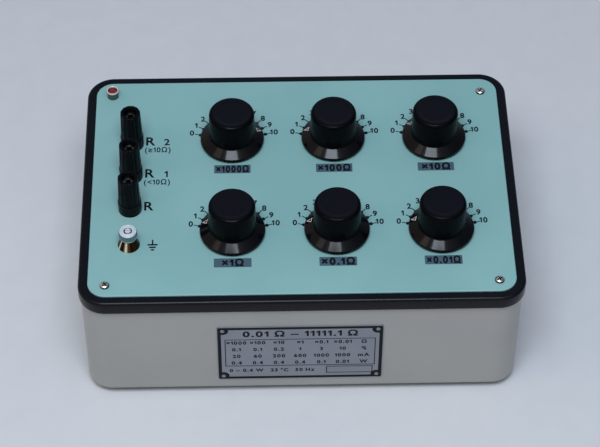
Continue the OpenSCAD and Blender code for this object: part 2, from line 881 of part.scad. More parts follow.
// Wires that join the decades in a chain and lead to the binding posts
module bus_wires() {
  last = len(DECADES) - 1;
  row_start = stud_at(columns, 0);
  color("darkgoldenrod") {
    for (i = [0 : last - 1])
      if (i % columns < columns - 1)
        level_wire([tail_at(i), stud_at(i + 1, 0)]);
    level_wire([
      tail_at(columns - 1), [tail_at(columns - 1).x, lane_y], [row_start.x, lane_y], row_start
    ]);
    post_lead(0, [stud_at(0, 0)]);
    post_lead(1, [[row_start.x, post_at(1).y], [row_start.x, lane_y]]);
    post_lead(2, [[post_x, front_lane_y], [tail_at(last).x, front_lane_y], tail_at(last)]);
  }
}

// A wire along points at the wires' level, with rounded bends
module level_wire(points) {
  translate([0, 0, wire_z - wire_r])
    linear_extrude(wire_d) {
      for (k = [0 : len(points) - 2]) {
        reach = points[k + 1] - points[k];
        translate([points[k].x, points[k].y])
          rotate(atan2(reach.y, reach.x))
            translate([0, -wire_r])
              square([norm([reach.x, reach.y]), wire_d]);
      }
      for (p = points)
        translate([p.x, p.y])
          circle(wire_r);
    }
}

// A lead that drops from a binding post's stud and runs on at the wires' level
module post_lead(k, points) {
  start = post_at(k);
  translate([start.x, start.y, wire_z])
    cylinder(r = wire_r * 0.9, h = post_stud_low - wire_z);
  level_wire(concat([start], points));
}

// Round black collars on the panel, with a spigot through it and a seat for the stud's shoulder
module post_collars() {
  seat_z = collar_h - shoulder_h;
  bore_r = post_stud_r + fit_gap;
  color([0.06, 0.06, 0.07])
    for (k = [0 : len(POSTS) - 1])
      translate(post_at(k) + [0, 0, panel_top])
        rotate_extrude()
          polygon([
            [bore_r, -panel_t], [spigot_r, -panel_t], [spigot_r, 0], [collar_d / 2, 0],
            [collar_d / 2, collar_h - rim_cut], [collar_d / 2 - rim_cut, collar_h],
            [shoulder_r + fit_gap, collar_h], [shoulder_r + fit_gap, seat_z], [bore_r, seat_z]
          ]);
}

// Insulating washers under the panel
module post_washers() {
  color([0.06, 0.06, 0.07])
    for (k = [0 : len(POSTS) - 1])
      translate(post_at(k))
        tube(collar_d / 2, post_stud_r + fit_gap, panel_low - post_washer_t, post_washer_t);
}

// Plated studs, each with a shoulder, a cross hole for a wire and a plug socket in its end
module post_studs() {
  color("silver")
    for (k = [0 : len(POSTS) - 1])
      translate(post_at(k) + [0, 0, panel_top])
        difference() {
          union() {
            translate([0, 0, post_stud_low - panel_top])
              cylinder(r = post_stud_r, h = post_stud_top - post_stud_low + panel_top);
            translate([0, 0, collar_h - shoulder_h])
              cylinder(r = shoulder_r, h = shoulder_h);
          }
          translate([0, 0, post_stud_top - socket_len])
            cylinder(d = socket_d, h = socket_len + cut);
          translate([-shoulder_r, 0, wire_hole_z])
            rotate([0, 90, 0])
              cylinder(r = wire_hole_r, h = 2 * shoulder_r);
        }
}

// Nuts that hold the binding posts from behind the panel
module post_nuts() {
  color("silver")
    for (k = [0 : len(POSTS) - 1])
      translate(post_at(k))
        hex_nut(post_nut_af, post_stud_r + fit_gap, panel_low - post_washer_t - post_nut_t, post_nut_t);
}

// Turned brass foot of the earth terminal with its slotted stud
module earth_post() {
  color("gold")
    translate(earth_at)
      difference() {
        rotate_extrude()
          polygon([
            [0, -earth_stud_len], [earth_stud_r, -earth_stud_len], [earth_stud_r, 0],
            [earth_low_d / 2, 0], [earth_low_d / 2, earth_rim_h], [earth_high_d / 2, earth_cone_h],
            [earth_stud_r, earth_cone_h], [earth_stud_r, earth_stud_top], [0, earth_stud_top]
          ]);
        translate([0, 0, earth_stud_top])
          cube([earth_stud_d * 2, earth_slot_w, 2 * earth_slot_depth], center = true);
      }
}

// Nut that holds the earth terminal from behind the panel
module earth_lock_nut() {
  color("silver")
    translate([earth_at.x, earth_at.y, 0])
      hex_nut(earth_lock_af, earth_stud_r + fit_gap, panel_low - earth_lock_t, earth_lock_t);
}

// Black knob: a coned skirt, a grip with a round shoulder, a dished top and a hub for the spindle
module knob(i) {
  skirt_r = knob_skirt_d / 2;
  low_r = knob_low_d / 2;
  high_r = knob_high_d / 2;
  shoulder_x = high_r - knob_shoulder_r;
  dish_r = shoulder_x - dish_lip;
  rim_top = knob_lift + knob_rim_h;
  inner_r = high_r - knob_wall;
  hub_r = knob_hub_d / 2;
  hollow_top = knob_h - knob_roof_t;
  color([0.05, 0.055, 0.07])
    translate(dial_at(i) + [0, 0, panel_top])
      rotate(pointer_angle(i))
        difference() {
          rotate_extrude()
            polygon(concat(
              [[0, knob_lift], [skirt_r - edge_cut, knob_lift], [skirt_r, knob_lift + edge_cut]],
              arc(skirt_r - rim_cut, rim_top - rim_cut, rim_cut, 0, 60, 3),
              [[low_r + knob_root_w, knob_cone_h - knob_root_low], [low_r, knob_cone_h + knob_root_high]],
              arc(shoulder_x, knob_h - knob_shoulder_r, knob_shoulder_r, 0, 90, 6),
              [[dish_r, knob_h], [dish_r - knob_dish, knob_h - knob_dish], [0, knob_h - knob_dish]]
            ));
          rotate_extrude()
            polygon([
              [0, knob_lift - cut], [skirt_r - knob_wall, knob_lift - cut],
              [skirt_r - knob_wall, rim_top - skirt_rim_t], [inner_r, knob_cone_h - skirt_cone_t],
              [inner_r, hollow_top], [hub_r, hollow_top],
              [hub_r, hub_low - panel_top], [0, hub_low - panel_top]
            ]);
          cylinder(r = spindle_r + fit_gap, h = spindle_top - panel_top + end_gap);
          translate([0, 0, grub_z - panel_top])
            rotate([0, 90, 0])
              cylinder(d = grub_d + 2 * fit_gap, h = skirt_r);
        }
}

// Slotted grub screw that grips the spindle through the knob's hub
module knob_screw(i) {
  color("silver")
    translate(dial_at(i) + [0, 0, grub_z])
      rotate(pointer_angle(i))
        translate([spindle_r, 0, 0])
          difference() {
            rotate([0, 90, 0])
              cylinder(d = grub_d, h = grub_len);
            translate([grub_len, 0, 0])
              cube([2 * grub_slot_depth, grub_d * 2, grub_slot_w], center = true);
          }
}

// Spindle with the star wheel that makes the steps and the lug that meets the stop pins
module spindle(i) {
  per_tooth = 4;
  points = teeth * per_tooth;
  lug_in = star_r - 2 * star_depth;
  color("lightgray")
    translate(dial_at(i))
      rotate(pointer_angle(i)) {
        translate([0, 0, spindle_low])
          cylinder(r = spindle_r, h = spindle_top - spindle_low);
        translate([0, 0, star_low])
          linear_extrude(star_t) {
            polygon([for (k = [0 : points - 1]) star_point(360 * k / points)]);
            polygon(concat(
              arc(0, 0, lug_in, lug_half_angle, -lug_half_angle, 1),
              arc(0, 0, lug_out_r, -lug_half_angle, lug_half_angle, 4)
            ));
          }
      }
}

// A point of the star wheel's wavy edge, with a notch at every step
function star_point(a) =
  (star_r - star_depth * (1 + cos(teeth * a)) / 2) * [cos(a), sin(a)];

// Two-ended wiper: an insulating hub moulded round a springy leaf
module wiper(i) {
  tip = brush_reach - brush_w / 2;
  color("darkgoldenrod")
    translate(dial_at(i))
      rotate(pointer_angle(i))
        difference() {
          union() {
            translate([0, 0, brush_low])
              linear_extrude(brush_t) {
                square([2 * tip, brush_w], center = true);
                for (sx = [-1, 1])
                  translate([sx * tip, 0])
                    circle(d = brush_w);
              }
            translate([0, 0, brush_low])
              cylinder(r = wiper_hub_r, h = hub_high - brush_low);
          }
          translate([0, 0, brush_low - cut])
            cylinder(r = spindle_r + fit_gap, h = hub_high - brush_low + 2 * cut);
        }
}

// Black fluted cap of a binding post, open at the top for a plug
module post_cap(k) {
  low_r = cap_low_d / 2;
  high_r = cap_high_d / 2;
  flange_r = cap_flange_d / 2;
  grip_low = cap_low + cap_flange_h;
  lean = atan((low_r - high_r) / (cap_top - grip_low));
  flange_room_r = insert_flange_r + run_gap;
  flange_room_top = insert_low + insert_flange_h + run_gap;
  color([0.05, 0.05, 0.06])
    translate(post_at(k) + [0, 0, panel_top])
      difference() {
        rotate_extrude()
          polygon([
            [0, cap_low], [flange_r - edge_cut, cap_low], [flange_r, cap_low + edge_cut],
            [flange_r, grip_low - flange_slope], [low_r, grip_low],
            [high_r, cap_top - cap_edge], [high_r - cap_edge, cap_top], [0, cap_top]
          ]);
        translate([0, 0, cap_low - cut])
          cylinder(r = flange_room_r, h = flange_room_top - cap_low + cut);
        translate([0, 0, cap_low])
          cylinder(r = insert_r + fit_gap, h = insert_top + run_gap - cap_low);
        translate([0, 0, cap_low])
          cylinder(r = post_stud_r + run_gap, h = cap_top - cap_low);
        translate([0, 0, post_stud_top])
          cylinder(d = cap_recess_d, h = cap_recess + cut);
        for (f = [1 : flutes])
          rotate(360 * f / flutes)
            translate([low_r + flute_r * 0.55, 0, grip_low + flute_start])
              rotate([0, -lean, 0])
                cylinder(r = flute_r, h = cap_top, $fn = 24);
      }
}

// Brass thread insert that carries the cap up and down the stud
module post_insert(k) {
  bore_r = post_stud_r + fit_gap;
  color("gold")
    translate(post_at(k) + [0, 0, panel_top])
      rotate_extrude()
        polygon([
          [bore_r, insert_low], [insert_flange_r, insert_low],
          [insert_flange_r, insert_low + insert_flange_h], [insert_r, insert_low + insert_flange_h],
          [insert_r, insert_top], [bore_r, insert_top]
        ]);
}

// Thin washer that rises with the earth terminal's nut
module earth_washer() {
  color("silver")
    translate(earth_at)
      tube(earth_nut_d / 2 - earth_washer_in, earth_stud_r + fit_gap, earth_washer_z, earth_washer_t);
}

// Knurled nut of the earth terminal, turned in rings on top
module earth_nut() {
  r = earth_nut_d / 2;
  clear_r = r + knurl_room;
  points = 2 * knurls;
  color("lightgray")
    translate(earth_at + [0, 0, earth_nut_z])
      difference() {
        intersection() {
          linear_extrude(earth_nut_h)
            polygon([for (q = [0 : points - 1])
              (r - knurl_depth * (q % 2)) * [cos(360 * q / points), sin(360 * q / points)]]);
          rotate_extrude()
            polygon([
              [0, 0], [clear_r - nut_low_cut, 0], [clear_r, nut_low_cut],
              [clear_r, earth_nut_h - nut_high_cut], [clear_r - nut_high_cut, earth_nut_h], [0, earth_nut_h]
            ]);
        }
        translate([0, 0, -cut])
          cylinder(r = earth_stud_r + fit_gap, h = earth_nut_h + 2 * cut);
        translate([0, 0, earth_nut_h - nut_recess])
          cylinder(r = earth_stud_r + nut_recess_w, h = cut);
      }
}

case();
bezel();
panel();
panel_screws();
seal_cup();
seal_wax();
feet();
foot_screws();
nameplate();
nameplate_rivets();
switch_bushes();
bush_nuts();
plate_pillars();
pillar_screws();
contact_plates();
contact_studs();
collector_arcs();
detent_springs();
coil_bobbins();
coil_windings();
bus_wires();
post_collars();
post_washers();
post_studs();
post_nuts();
earth_post();
earth_lock_nut();
for (i = [0 : len(DECADES) - 1]) {
  knob(i);
  knob_screw(i);
  spindle(i);
  wiper(i);
}
for (k = [0 : len(POSTS) - 1]) {
  post_cap(k);
  post_insert(k);
}
earth_washer();
earth_nut();
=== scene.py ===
# %% [markdown]
# # A decade resistance box
# Six step dials, three binding posts and an earth terminal stand on a pale blue-green panel. A black
# bezel holds the panel on a pale grey case. The CAD frame gives every solid at its real size, so this
# lesson adds what a solid model leaves out: polished turned surfaces, printing, finishes and light.

# %% Load the frame
import json
import math

import bmesh
import bpy
import numpy as np
from mathutils import Matrix, Vector


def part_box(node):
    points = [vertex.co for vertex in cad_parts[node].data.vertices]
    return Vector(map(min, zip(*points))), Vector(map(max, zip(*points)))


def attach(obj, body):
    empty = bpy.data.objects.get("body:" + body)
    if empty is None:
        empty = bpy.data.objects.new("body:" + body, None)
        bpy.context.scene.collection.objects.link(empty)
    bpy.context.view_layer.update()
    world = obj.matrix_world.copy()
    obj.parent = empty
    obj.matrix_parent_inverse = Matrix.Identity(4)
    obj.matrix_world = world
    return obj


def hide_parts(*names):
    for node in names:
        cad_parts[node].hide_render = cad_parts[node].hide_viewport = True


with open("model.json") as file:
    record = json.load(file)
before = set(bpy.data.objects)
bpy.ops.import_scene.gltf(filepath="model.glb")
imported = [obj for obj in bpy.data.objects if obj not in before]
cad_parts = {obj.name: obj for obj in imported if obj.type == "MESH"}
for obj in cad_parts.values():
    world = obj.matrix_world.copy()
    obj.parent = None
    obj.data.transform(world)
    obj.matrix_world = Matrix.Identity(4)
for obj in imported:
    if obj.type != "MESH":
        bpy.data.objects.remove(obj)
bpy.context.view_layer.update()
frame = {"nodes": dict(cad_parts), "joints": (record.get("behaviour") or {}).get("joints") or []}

MM = 0.001
nodes = frame["nodes"]

# %% [markdown]
# ## Places taken from the frame
# Nothing is fitted by eye. A dial's centre is the point of its hinge, and the angle of its pointer at
# rest follows from how far the dial can still turn back to its zero.

# %% Read the places
DIALS = ["x1000", "x100", "x10", "x1", "x0p1", "x0p01"]
POSTS = ["r2", "r1", "r"]
ZERO_ANGLE = 165.0
STEP_ANGLE = 15.0
STEPS = 10

panel_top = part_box("panel")[1].z
hinges = {joint["name"]: joint for joint in frame["joints"] if joint["type"] == "hinge"}


def standing_at(hinge):
    """The point of the panel's face under a hinge."""
    x, y, _ = hinges[hinge]["pos_m"]
    return np.array([x, y, panel_top])


def height_over_panel(node, end):
    """How far a node's lower (0) or upper (1) end stands over the panel's face, in mm."""
    return (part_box(node)[end].z - panel_top) / MM


def half_width(node):
    """Half of a node's width along X, in mm."""
    low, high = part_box(node)
    return (high.x - low.x) / 2.0 / MM


dial_at = {dial: standing_at(f"dial_{dial}_turn") for dial in DIALS}
post_at = {post: standing_at(f"cap_{post}_turn") for post in POSTS}
earth_at = standing_at("earth_nut_turn")
pointer_angle = {dial: ZERO_ANGLE + hinges[f"dial_{dial}_turn"]["range_deg"][0] for dial in DIALS}
print("pointers rest at", pointer_angle)

# %% [markdown]
# ## The camera
# The camera stands in front of the box and looks down at about 49 degrees. Its place was worked out
# from the panel's edges and the round knobs, so the values are real ones: a point in metres, three
# angles, and the focal length for a picture 36 mm wide.

# %% Make the camera
CAMERA_AT = (-0.02602, -1.02384, 1.23621)
CAMERA_DOWN = math.radians(49.009)
CAMERA_TURN = math.radians(-1.484)
CAMERA_ROLL = math.radians(0.294)
CAMERA_LENS = 134.25
PICTURE_WIDTH = 36.0


def camera_axes(down, turn, roll):
    """Right, up and back of a camera that looks along +Y, tilted down, rolled and then turned about Z."""
    ahead = np.array([0.0, math.cos(down), -math.sin(down)])
    right = np.array([1.0, 0.0, 0.0])
    up = np.cross(right, ahead)
    rolled_right = math.cos(roll) * right + math.sin(roll) * up
    rolled_up = math.cos(roll) * up - math.sin(roll) * right
    c, s = math.cos(turn), math.sin(turn)
    spin = np.array([[c, -s, 0.0], [s, c, 0.0], [0.0, 0.0, 1.0]])
    return spin @ np.stack([rolled_right, rolled_up, -ahead], axis=1)


camera_data = bpy.data.cameras.new("camera")
camera_data.sensor_fit = "HORIZONTAL"
camera_data.sensor_width = PICTURE_WIDTH
camera_data.lens = CAMERA_LENS
camera = bpy.data.objects.new("camera", camera_data)
bpy.context.scene.collection.objects.link(camera)
stand = np.eye(4)
stand[:3, :3] = camera_axes(CAMERA_DOWN, CAMERA_TURN, CAMERA_ROLL)
stand[:3, 3] = CAMERA_AT
camera.matrix_world = Matrix(stand.tolist())
bpy.context.scene.camera = camera
bpy.context.scene.view_settings.view_transform = "Standard"
print("camera at", CAMERA_AT, "looking down", round(math.degrees(CAMERA_DOWN), 1), "degrees")

# %% [markdown]
# ## Shader maths as Python
# A material is a graph of nodes, and a graph is hard to read in a script. Here one small class stands
# for a number that changes over a surface, so that `0.4 + 0.1 * grain` adds the Math nodes by itself.
# Another class holds the graph and adds every other kind of node by a single method.

# %% Values
MIDDLE_TONES = (0.35, 0.65)


class Value:
    """A number that changes over a surface. An expression on values adds Math nodes."""

    def __init__(self, graph, socket):
        self.graph = graph
        self.socket = socket

    def __add__(self, other):
        return self.graph.maths("ADD", self, other)

    def __radd__(self, other):
        return self.graph.maths("ADD", other, self)

    def __sub__(self, other):
        return self.graph.maths("SUBTRACT", self, other)

    def __rsub__(self, other):
        return self.graph.maths("SUBTRACT", other, self)

    def __mul__(self, other):
        return self.graph.maths("MULTIPLY", self, other)

    def __rmul__(self, other):
        return self.graph.maths("MULTIPLY", other, self)

    def between(self, low, high):
        """0 below one number and 1 above another, with a smooth step from one to the other."""
        settings = {"interpolation_type": "SMOOTHSTEP"}
        sockets = {"Value": self, "From Min": low, "From Max": high}
        ramp = self.graph.node("ShaderNodeMapRange", settings, sockets)
        return Value(self.graph, ramp.outputs[0])

    def patches(self):
        """A noise with its middle tones drawn apart, so that two colours lie in soft patches."""
        return self.between(*MIDDLE_TONES)

    def swing(self, width):
        """A noise from 0 to 1 as a number that goes as far below zero as above it, over a width."""
        return width * (self - 0.5)


print("a value takes +, - and * from either side")


# %% Graphs
class Graph:
    """A tree of shader nodes that is written as expressions and calls."""

    def __init__(self, tree):
        self.tree = tree

    def feed(self, node, sockets):
        """Links a value or a socket to an input, or writes a constant there."""
        for key, given in sockets.items():
            source = given.socket if isinstance(given, Value) else given
            if isinstance(source, bpy.types.NodeSocket):
                self.tree.links.new(source, node.inputs[key])
            else:
                node.inputs[key].default_value = source

    def node(self, kind, settings=None, sockets=None):
        """Adds a node of any kind: its settings first, then its sockets."""
        made = self.tree.nodes.new(kind)
        for key, setting in (settings or {}).items():
            setattr(made, key, setting)
        self.feed(made, sockets or {})
        return made

    def maths(self, operation, *terms):
        """A Math node on values and numbers."""
        node = self.node("ShaderNodeMath", {"operation": operation}, dict(enumerate(terms)))
        return Value(self, node.outputs[0])

    def axes(self, where):
        """The three coordinates of a place as values."""
        split = self.node("ShaderNodeSeparateXYZ", None, {0: where})
        return [Value(self, socket) for socket in split.outputs]

    def blend(self, low, high, share):
        """A colour between two others, which are sockets 6 and 7 of a Mix node."""
        mix = self.node("ShaderNodeMix", {"data_type": "RGBA"}, {0: share, 6: low, 7: high})
        return mix.outputs[2]


print("a graph adds any kind of node by one method")

# %% [markdown]
# ## A finish round one shader
# A finish is a graph round one Principled shader. A picture could be wrapped round each piece, but
# noise needs no unwrapping and shows no seams. It reads Object coordinates, in metres, so a grain keeps
# its real size on every piece. Colours are read from a paint card and turned into linear light,
# because the shader works in that.

# %% Finishes and colours
# How many finer noises lie on a noise
SMOOTH = 2.0
CLOUDY = 3.0
GRITTY = 4.0


class Finish(Graph):
    """A material round one Principled shader, with the patterns that feed it."""

    def __init__(self, name, constants=None):
        self.material = bpy.data.materials.new(name)
        self.material.use_nodes = True
        super().__init__(self.material.node_tree)
        self.shader = self.tree.nodes["Principled BSDF"]
        self.feed(self.shader, constants or {})

    def place(self, centre=(0.0, 0.0, 0.0), stretch=(1.0, 1.0, 1.0)):
        """Object coordinates with a point of the object as their origin, stretched along the axes."""
        where = self.node("ShaderNodeTexCoord").outputs["Object"]
        shift = [-c * s for c, s in zip(centre, stretch)]
        moved = {"Vector": where, "Location": shift, "Scale": stretch}
        return self.node("ShaderNodeMapping", None, moved).outputs["Vector"]

    def noise(self, per_metre, detail=SMOOTH, where=None):
        """Soft random bumps, a number of them to each metre, with finer ones on them by their detail."""
        sockets = {"Vector": where or self.place(), "Scale": per_metre, "Detail": detail}
        return Value(self, self.node("ShaderNodeTexNoise", None, sockets).outputs[0])

    def noise_on(self, number, per_unit, detail=SMOOTH):
        """Random bumps along a single number, some of them to each unit."""
        sockets = {"W": number, "Scale": per_unit, "Detail": detail}
        made = self.node("ShaderNodeTexNoise", {"noise_dimensions": "1D"}, sockets)
        return Value(self, made.outputs[0])

    def height(self, level):
        """The height over a level, in metres."""
        return self.axes(self.place((0.0, 0.0, level)))[2]

    def radius(self, centre):
        """sqrt(x^2 + y^2): the distance from an upright axis through a point, in metres."""
        x, y, _ = self.axes(self.place(centre))
        return self.maths("SQRT", x * x + y * y)

    def rings(self, centre, per_metre):
        """Random rings about an upright axis, as a lathe tool leaves them."""
        return self.noise_on(self.radius(centre), per_metre)

    def bump(self, height, depth):
        """A normal for a relief whose height goes from 0 to 1 over a depth in metres."""
        sockets = {"Height": height, "Distance": depth, "Strength": 1.0}
        return self.node("ShaderNodeBump", None, sockets).outputs["Normal"]

    def surface(self, colour, roughness, normal):
        """Feeds the shader's three inputs that change over the surface."""
        self.feed(self.shader, {"Base Color": colour, "Roughness": roughness, "Normal": normal})
        return self.material


def card(red, green, blue):
    """A colour read from a paint card on a scale of 0 to 255, as linear light by the sRGB curve."""
    level = np.array([red, green, blue]) / 255.0
    linear = np.where(level <= 0.04045, level / 12.92, ((level + 0.055) / 1.055) ** 2.4)
    return (*linear.tolist(), 1.0)


print("a mid grey card is", round(card(128, 128, 128)[0], 3), "in linear light")

# %% [markdown]
# ## Studio light
# One softbox hangs above the box and a little in front of it. It lays the pale patch on the front of
# each knob's skirt. A small warm lamp on the left, as light from a wall, lays the brown patch beside
# it. A long weak strip draws the thin arc on each knob's shoulder. The rest is a soft room that is
# blue behind the box, because the flat knob tops mirror that part and show its colour. It is warm on
# the left and dim on the right, which gives round metal its two sides.

# %% Lamps and room
LAMP_AIM = (0.0, 0.0, 0.1)
LAMPS = {
    "key": {"at": (-0.08, -0.66, 1.48), "size": (0.78, 0.52), "watts": 15.5, "colour": (0.78, 0.89, 1.0)},
    "strip": {"at": (0.0, -0.36, 1.56), "size": (1.8, 0.12), "watts": 2.6, "colour": (1.0, 0.92, 0.98)},
    "wall": {"at": (-1.1, -0.48, 1.5), "size": (0.5, 0.5), "watts": 1.05, "colour": (1.0, 0.78, 0.7)},
}
ROOM_FRONT = (0.38, 0.39, 0.41, 1.0)
ROOM_BACK = (0.21, 0.26, 0.38, 1.0)
ROOM_LEFT = (0.44, 0.37, 0.33, 1.0)
ROOM_RIGHT = (0.12, 0.13, 0.16, 1.0)
DEPTH_FADE = (-0.5, 0.5)
SIDE_FADE = (0.3, 0.9)


def softbox(name, at, size, watts, colour):
    """A rectangular lamp at a point that faces the middle of the box."""
    lamp = bpy.data.lights.new(name, "AREA")
    lamp.shape = "RECTANGLE"
    lamp.size, lamp.size_y = size
    lamp.energy = watts
    lamp.color = colour
    holder = bpy.data.objects.new(name, lamp)
    holder.location = at
    holder.rotation_euler = (Vector(LAMP_AIM) - Vector(at)).to_track_quat("-Z", "Y").to_euler()
    bpy.context.scene.collection.objects.link(holder)


def soft_room(front, back, left, right):
    """A world whose light fades from the front of the room to its back, and to its two sides."""
    world = bpy.data.worlds.new("soft_room")
    world.use_nodes = True
    room = Graph(world.node_tree)
    across, depth, _ = room.axes(room.node("ShaderNodeTexCoord").outputs["Generated"])
    near, far = SIDE_FADE
    colour = room.blend(front, back, depth.between(*DEPTH_FADE))
    colour = room.blend(colour, left, across.between(-near, -far))
    colour = room.blend(colour, right, across.between(near, far))
    room.feed(room.tree.nodes["Background"], {"Color": colour})
    bpy.context.scene.world = world


for name, lamp in LAMPS.items():
    softbox(name, **lamp)
soft_room(ROOM_FRONT, ROOM_BACK, ROOM_LEFT, ROOM_RIGHT)
print("lamps and their watts:", {name: lamp["watts"] for name, lamp in LAMPS.items()})

# %% [markdown]
# ## The floor
# The box stands on a plain floor of pale paper, a disc so wide that its rim is out of the picture.

# %% Lay the floor
FLOOR_RADIUS = 4.0
FLOOR_SIDES = 96
FIBRES = 60.0
PAPER_ROUGH = 0.8
FIBRE_ROUGH = 0.1
FIBRE_DEPTH = 0.02 * MM


def full_turn(sides):
    """Angles all the way round, one for each side."""
    return np.linspace(0.0, 2.0 * np.pi, sides, endpoint=False)


def pale_floor(radius, sides):
    """A flat disc under the box: points at radius (cos a, sin a), joined in one face."""
    angle = full_turn(sides)
    rim = np.column_stack([radius * np.cos(angle), radius * np.sin(angle), np.zeros(sides)])
    mesh = bpy.data.meshes.new("floor")
    mesh.from_pydata(rim.tolist(), [], [list(range(sides))])
    paper = Finish("floor_paper")
    fibres = paper.noise(FIBRES, GRITTY)
    tone = paper.blend(card(206, 208, 210), card(214, 215, 216), fibres)
    rough = PAPER_ROUGH + FIBRE_ROUGH * fibres
    mesh.materials.append(paper.surface(tone, rough, paper.bump(fibres, FIBRE_DEPTH)))
    floor = bpy.data.objects.new("floor", mesh)
    bpy.context.scene.collection.objects.link(floor)


pale_floor(FLOOR_RADIUS, FLOOR_SIDES)
print("the floor is", 2.0 * FLOOR_RADIUS, "m wide")

# %% [markdown]
# ## Paint and plastic
# The panel carries a fine matt enamel and the case a thicker sprayed one with orange peel. The black
# pieces are mouldings: a satin bezel, polished knobs and duller terminal caps. One flat colour would
# look like a drawing, so one recipe gives all but the knobs two close tones in clouds, a roughness that
# wanders, and a skin of small bumps. The knobs have a clear coat, which fingers have worn off the grip.

# %% Paint and plastic finishes
CLOUDS = 14.0
CLOUD_EDGE = (0.3, 0.7)
CLOUD_SHARE = 0.6
SKIN_SWING = 0.16
SOFT_GLOSS = {"IOR": 1.26}
DULL_GLOSS = {"IOR": 1.19}
RESIN = {"IOR": 1.12, "Coat Roughness": 0.11}
POLISH = 0.41
WORN_POLISH = 0.05
SMUDGES = 110.0
SMUDGE_EDGE = (0.35, 0.75)
SMUDGE_COAT = 0.1
SMUDGE_ROUGH = 0.1
RESIN_ROUGH = 0.2
LATHE_RINGS = 2600.0
LATHE_ROUGH = 0.06
LATHE_DEPTH = 0.003 * MM


def enamel(name, low, high, roughness, grains, depth, constants=None):
    """Two close tones in broad clouds and fine grains, with the grains standing up as a skin."""
    paint = Finish(name, constants)
    clouds = paint.noise(CLOUDS, CLOUDY).between(*CLOUD_EDGE)
    skin = paint.noise(grains)
    tone = paint.blend(low, high, CLOUD_SHARE * clouds + (1.0 - CLOUD_SHARE) * skin)
    return paint.surface(tone, roughness + skin.swing(SKIN_SWING), paint.bump(skin, depth))


def polished_black(name, low, high, centre, grip):
    """Pressed phenolic: near black, with finger marks, fine rings and a polish that is worn off the grip,
    which starts at a height and a radius."""
    resin = Finish(name, RESIN)
    smudge = resin.noise(SMUDGES, GRITTY).between(*SMUDGE_EDGE)
    rings = resin.rings(centre, LATHE_RINGS)
    grip_low, grip_r = grip
    on_grip = resin.height(panel_top).between(grip_low, grip_low + MM)
    worn = on_grip * resin.radius(centre).between(grip_r, grip_r + MM)
    polish = POLISH - (POLISH - WORN_POLISH) * worn - SMUDGE_COAT * smudge
    resin.feed(resin.shader, {"Coat Weight": polish})
    tone = resin.blend(low, high, smudge)
    rough = RESIN_ROUGH + SMUDGE_ROUGH * smudge + LATHE_ROUGH * rings
    return resin.surface(tone, rough, resin.bump(rings, LATHE_DEPTH))


panel_paint = enamel(
    "panel_paint", card(127, 172, 169), card(138, 182, 179), roughness=0.46, grains=1900.0, depth=0.008 * MM
)
case_enamel = enamel(
    "case_enamel", card(155, 155, 152), card(165, 164, 160), roughness=0.38, grains=420.0, depth=0.035 * MM
)
bezel_black = enamel(
    "bezel_black", card(9, 10, 13), card(16, 17, 21), roughness=0.26, grains=1500.0, depth=0.006 * MM,
    constants=SOFT_GLOSS,
)
cap_black = enamel(
    "cap_black", card(3, 4, 6), card(8, 9, 11), roughness=0.28, grains=1300.0, depth=0.008 * MM,
    constants=DULL_GLOSS,
)
rubber = enamel(
    "rubber", card(24, 24, 25), card(34, 34, 35), roughness=0.75, grains=1600.0, depth=0.02 * MM
)
print("painted:", panel_paint.name, case_enamel.name, bezel_black.name)

# %% [markdown]
# ## Metals
# The plated pieces are bright, but never perfect mirrors: handling leaves fine scratches, and plating
# is a little cloudy. The nameplate is brushed along its length, so its noise is stretched until the
# grains become streaks.

# %% Plated and brushed metals
SCRATCHES = 900.0
SCRATCHED_ALONG = (1.0, 0.15, 1.0)
SCRATCHED_ACROSS = (0.15, 1.0, 0.4)
SCRATCH_SWING = 0.2
SCRATCH_DEPTH = 0.006 * MM
BRUSHED = (40.0, 40.0, 7000.0)
BRUSHED_METAL = 0.75
BRUSHED_ROUGH = 0.42
BRUSHED_SWING = 0.25
BRUSHED_DEPTH = 0.004 * MM
BRUSHED_CLOUDS = 45.0


def plated(name, low, high, roughness):
    """A cloudy bright metal with fine scratches that run across one another."""
    metal = Finish(name, {"Metallic": 1.0})
    along = metal.noise(SCRATCHES, where=metal.place(stretch=SCRATCHED_ALONG))
    across = metal.noise(SCRATCHES, where=metal.place(stretch=SCRATCHED_ACROSS))
    marks = 0.5 * along + 0.5 * across
    tone = metal.blend(low, high, marks.patches())
    return metal.surface(tone, roughness + marks.swing(SCRATCH_SWING), metal.bump(marks, SCRATCH_DEPTH))


def brushed_plate(name, low, high):
    """Aluminium brushed along X: noise stretched into streaks a tenth of a millimetre wide."""
    metal = Finish(name, {"Metallic": BRUSHED_METAL})
    streaks = metal.noise(1.0, CLOUDY, metal.place(stretch=BRUSHED))
    clouds = metal.noise(BRUSHED_CLOUDS, CLOUDY)
    tone = metal.blend(low, high, 0.5 * streaks + 0.5 * clouds)
    rough = BRUSHED_ROUGH + streaks.swing(BRUSHED_SWING)
    return metal.surface(tone, rough, metal.bump(streaks, BRUSHED_DEPTH))


nickel = plated("nickel", card(196, 196, 192), card(226, 226, 222), roughness=0.24)
brass = plated("brass", card(186, 142, 66), card(214, 172, 92), roughness=0.3)
spring_steel = plated("spring_steel", card(120, 124, 130), card(160, 164, 170), roughness=0.32)
copper = plated("copper", card(170, 92, 60), card(206, 124, 86), roughness=0.34)
# A darker nickel for the sockets' studs: the darkness is painted shade deep inside each cap's recess.
shade_dimmed_nickel = plated("shade_dimmed_nickel", card(112, 106, 100), card(176, 168, 160), roughness=0.22)
plate_silver = brushed_plate("plate_silver", card(128, 131, 140), card(160, 163, 170))
print("metals:", nickel.name, brass.name, shade_dimmed_nickel.name, plate_silver.name)
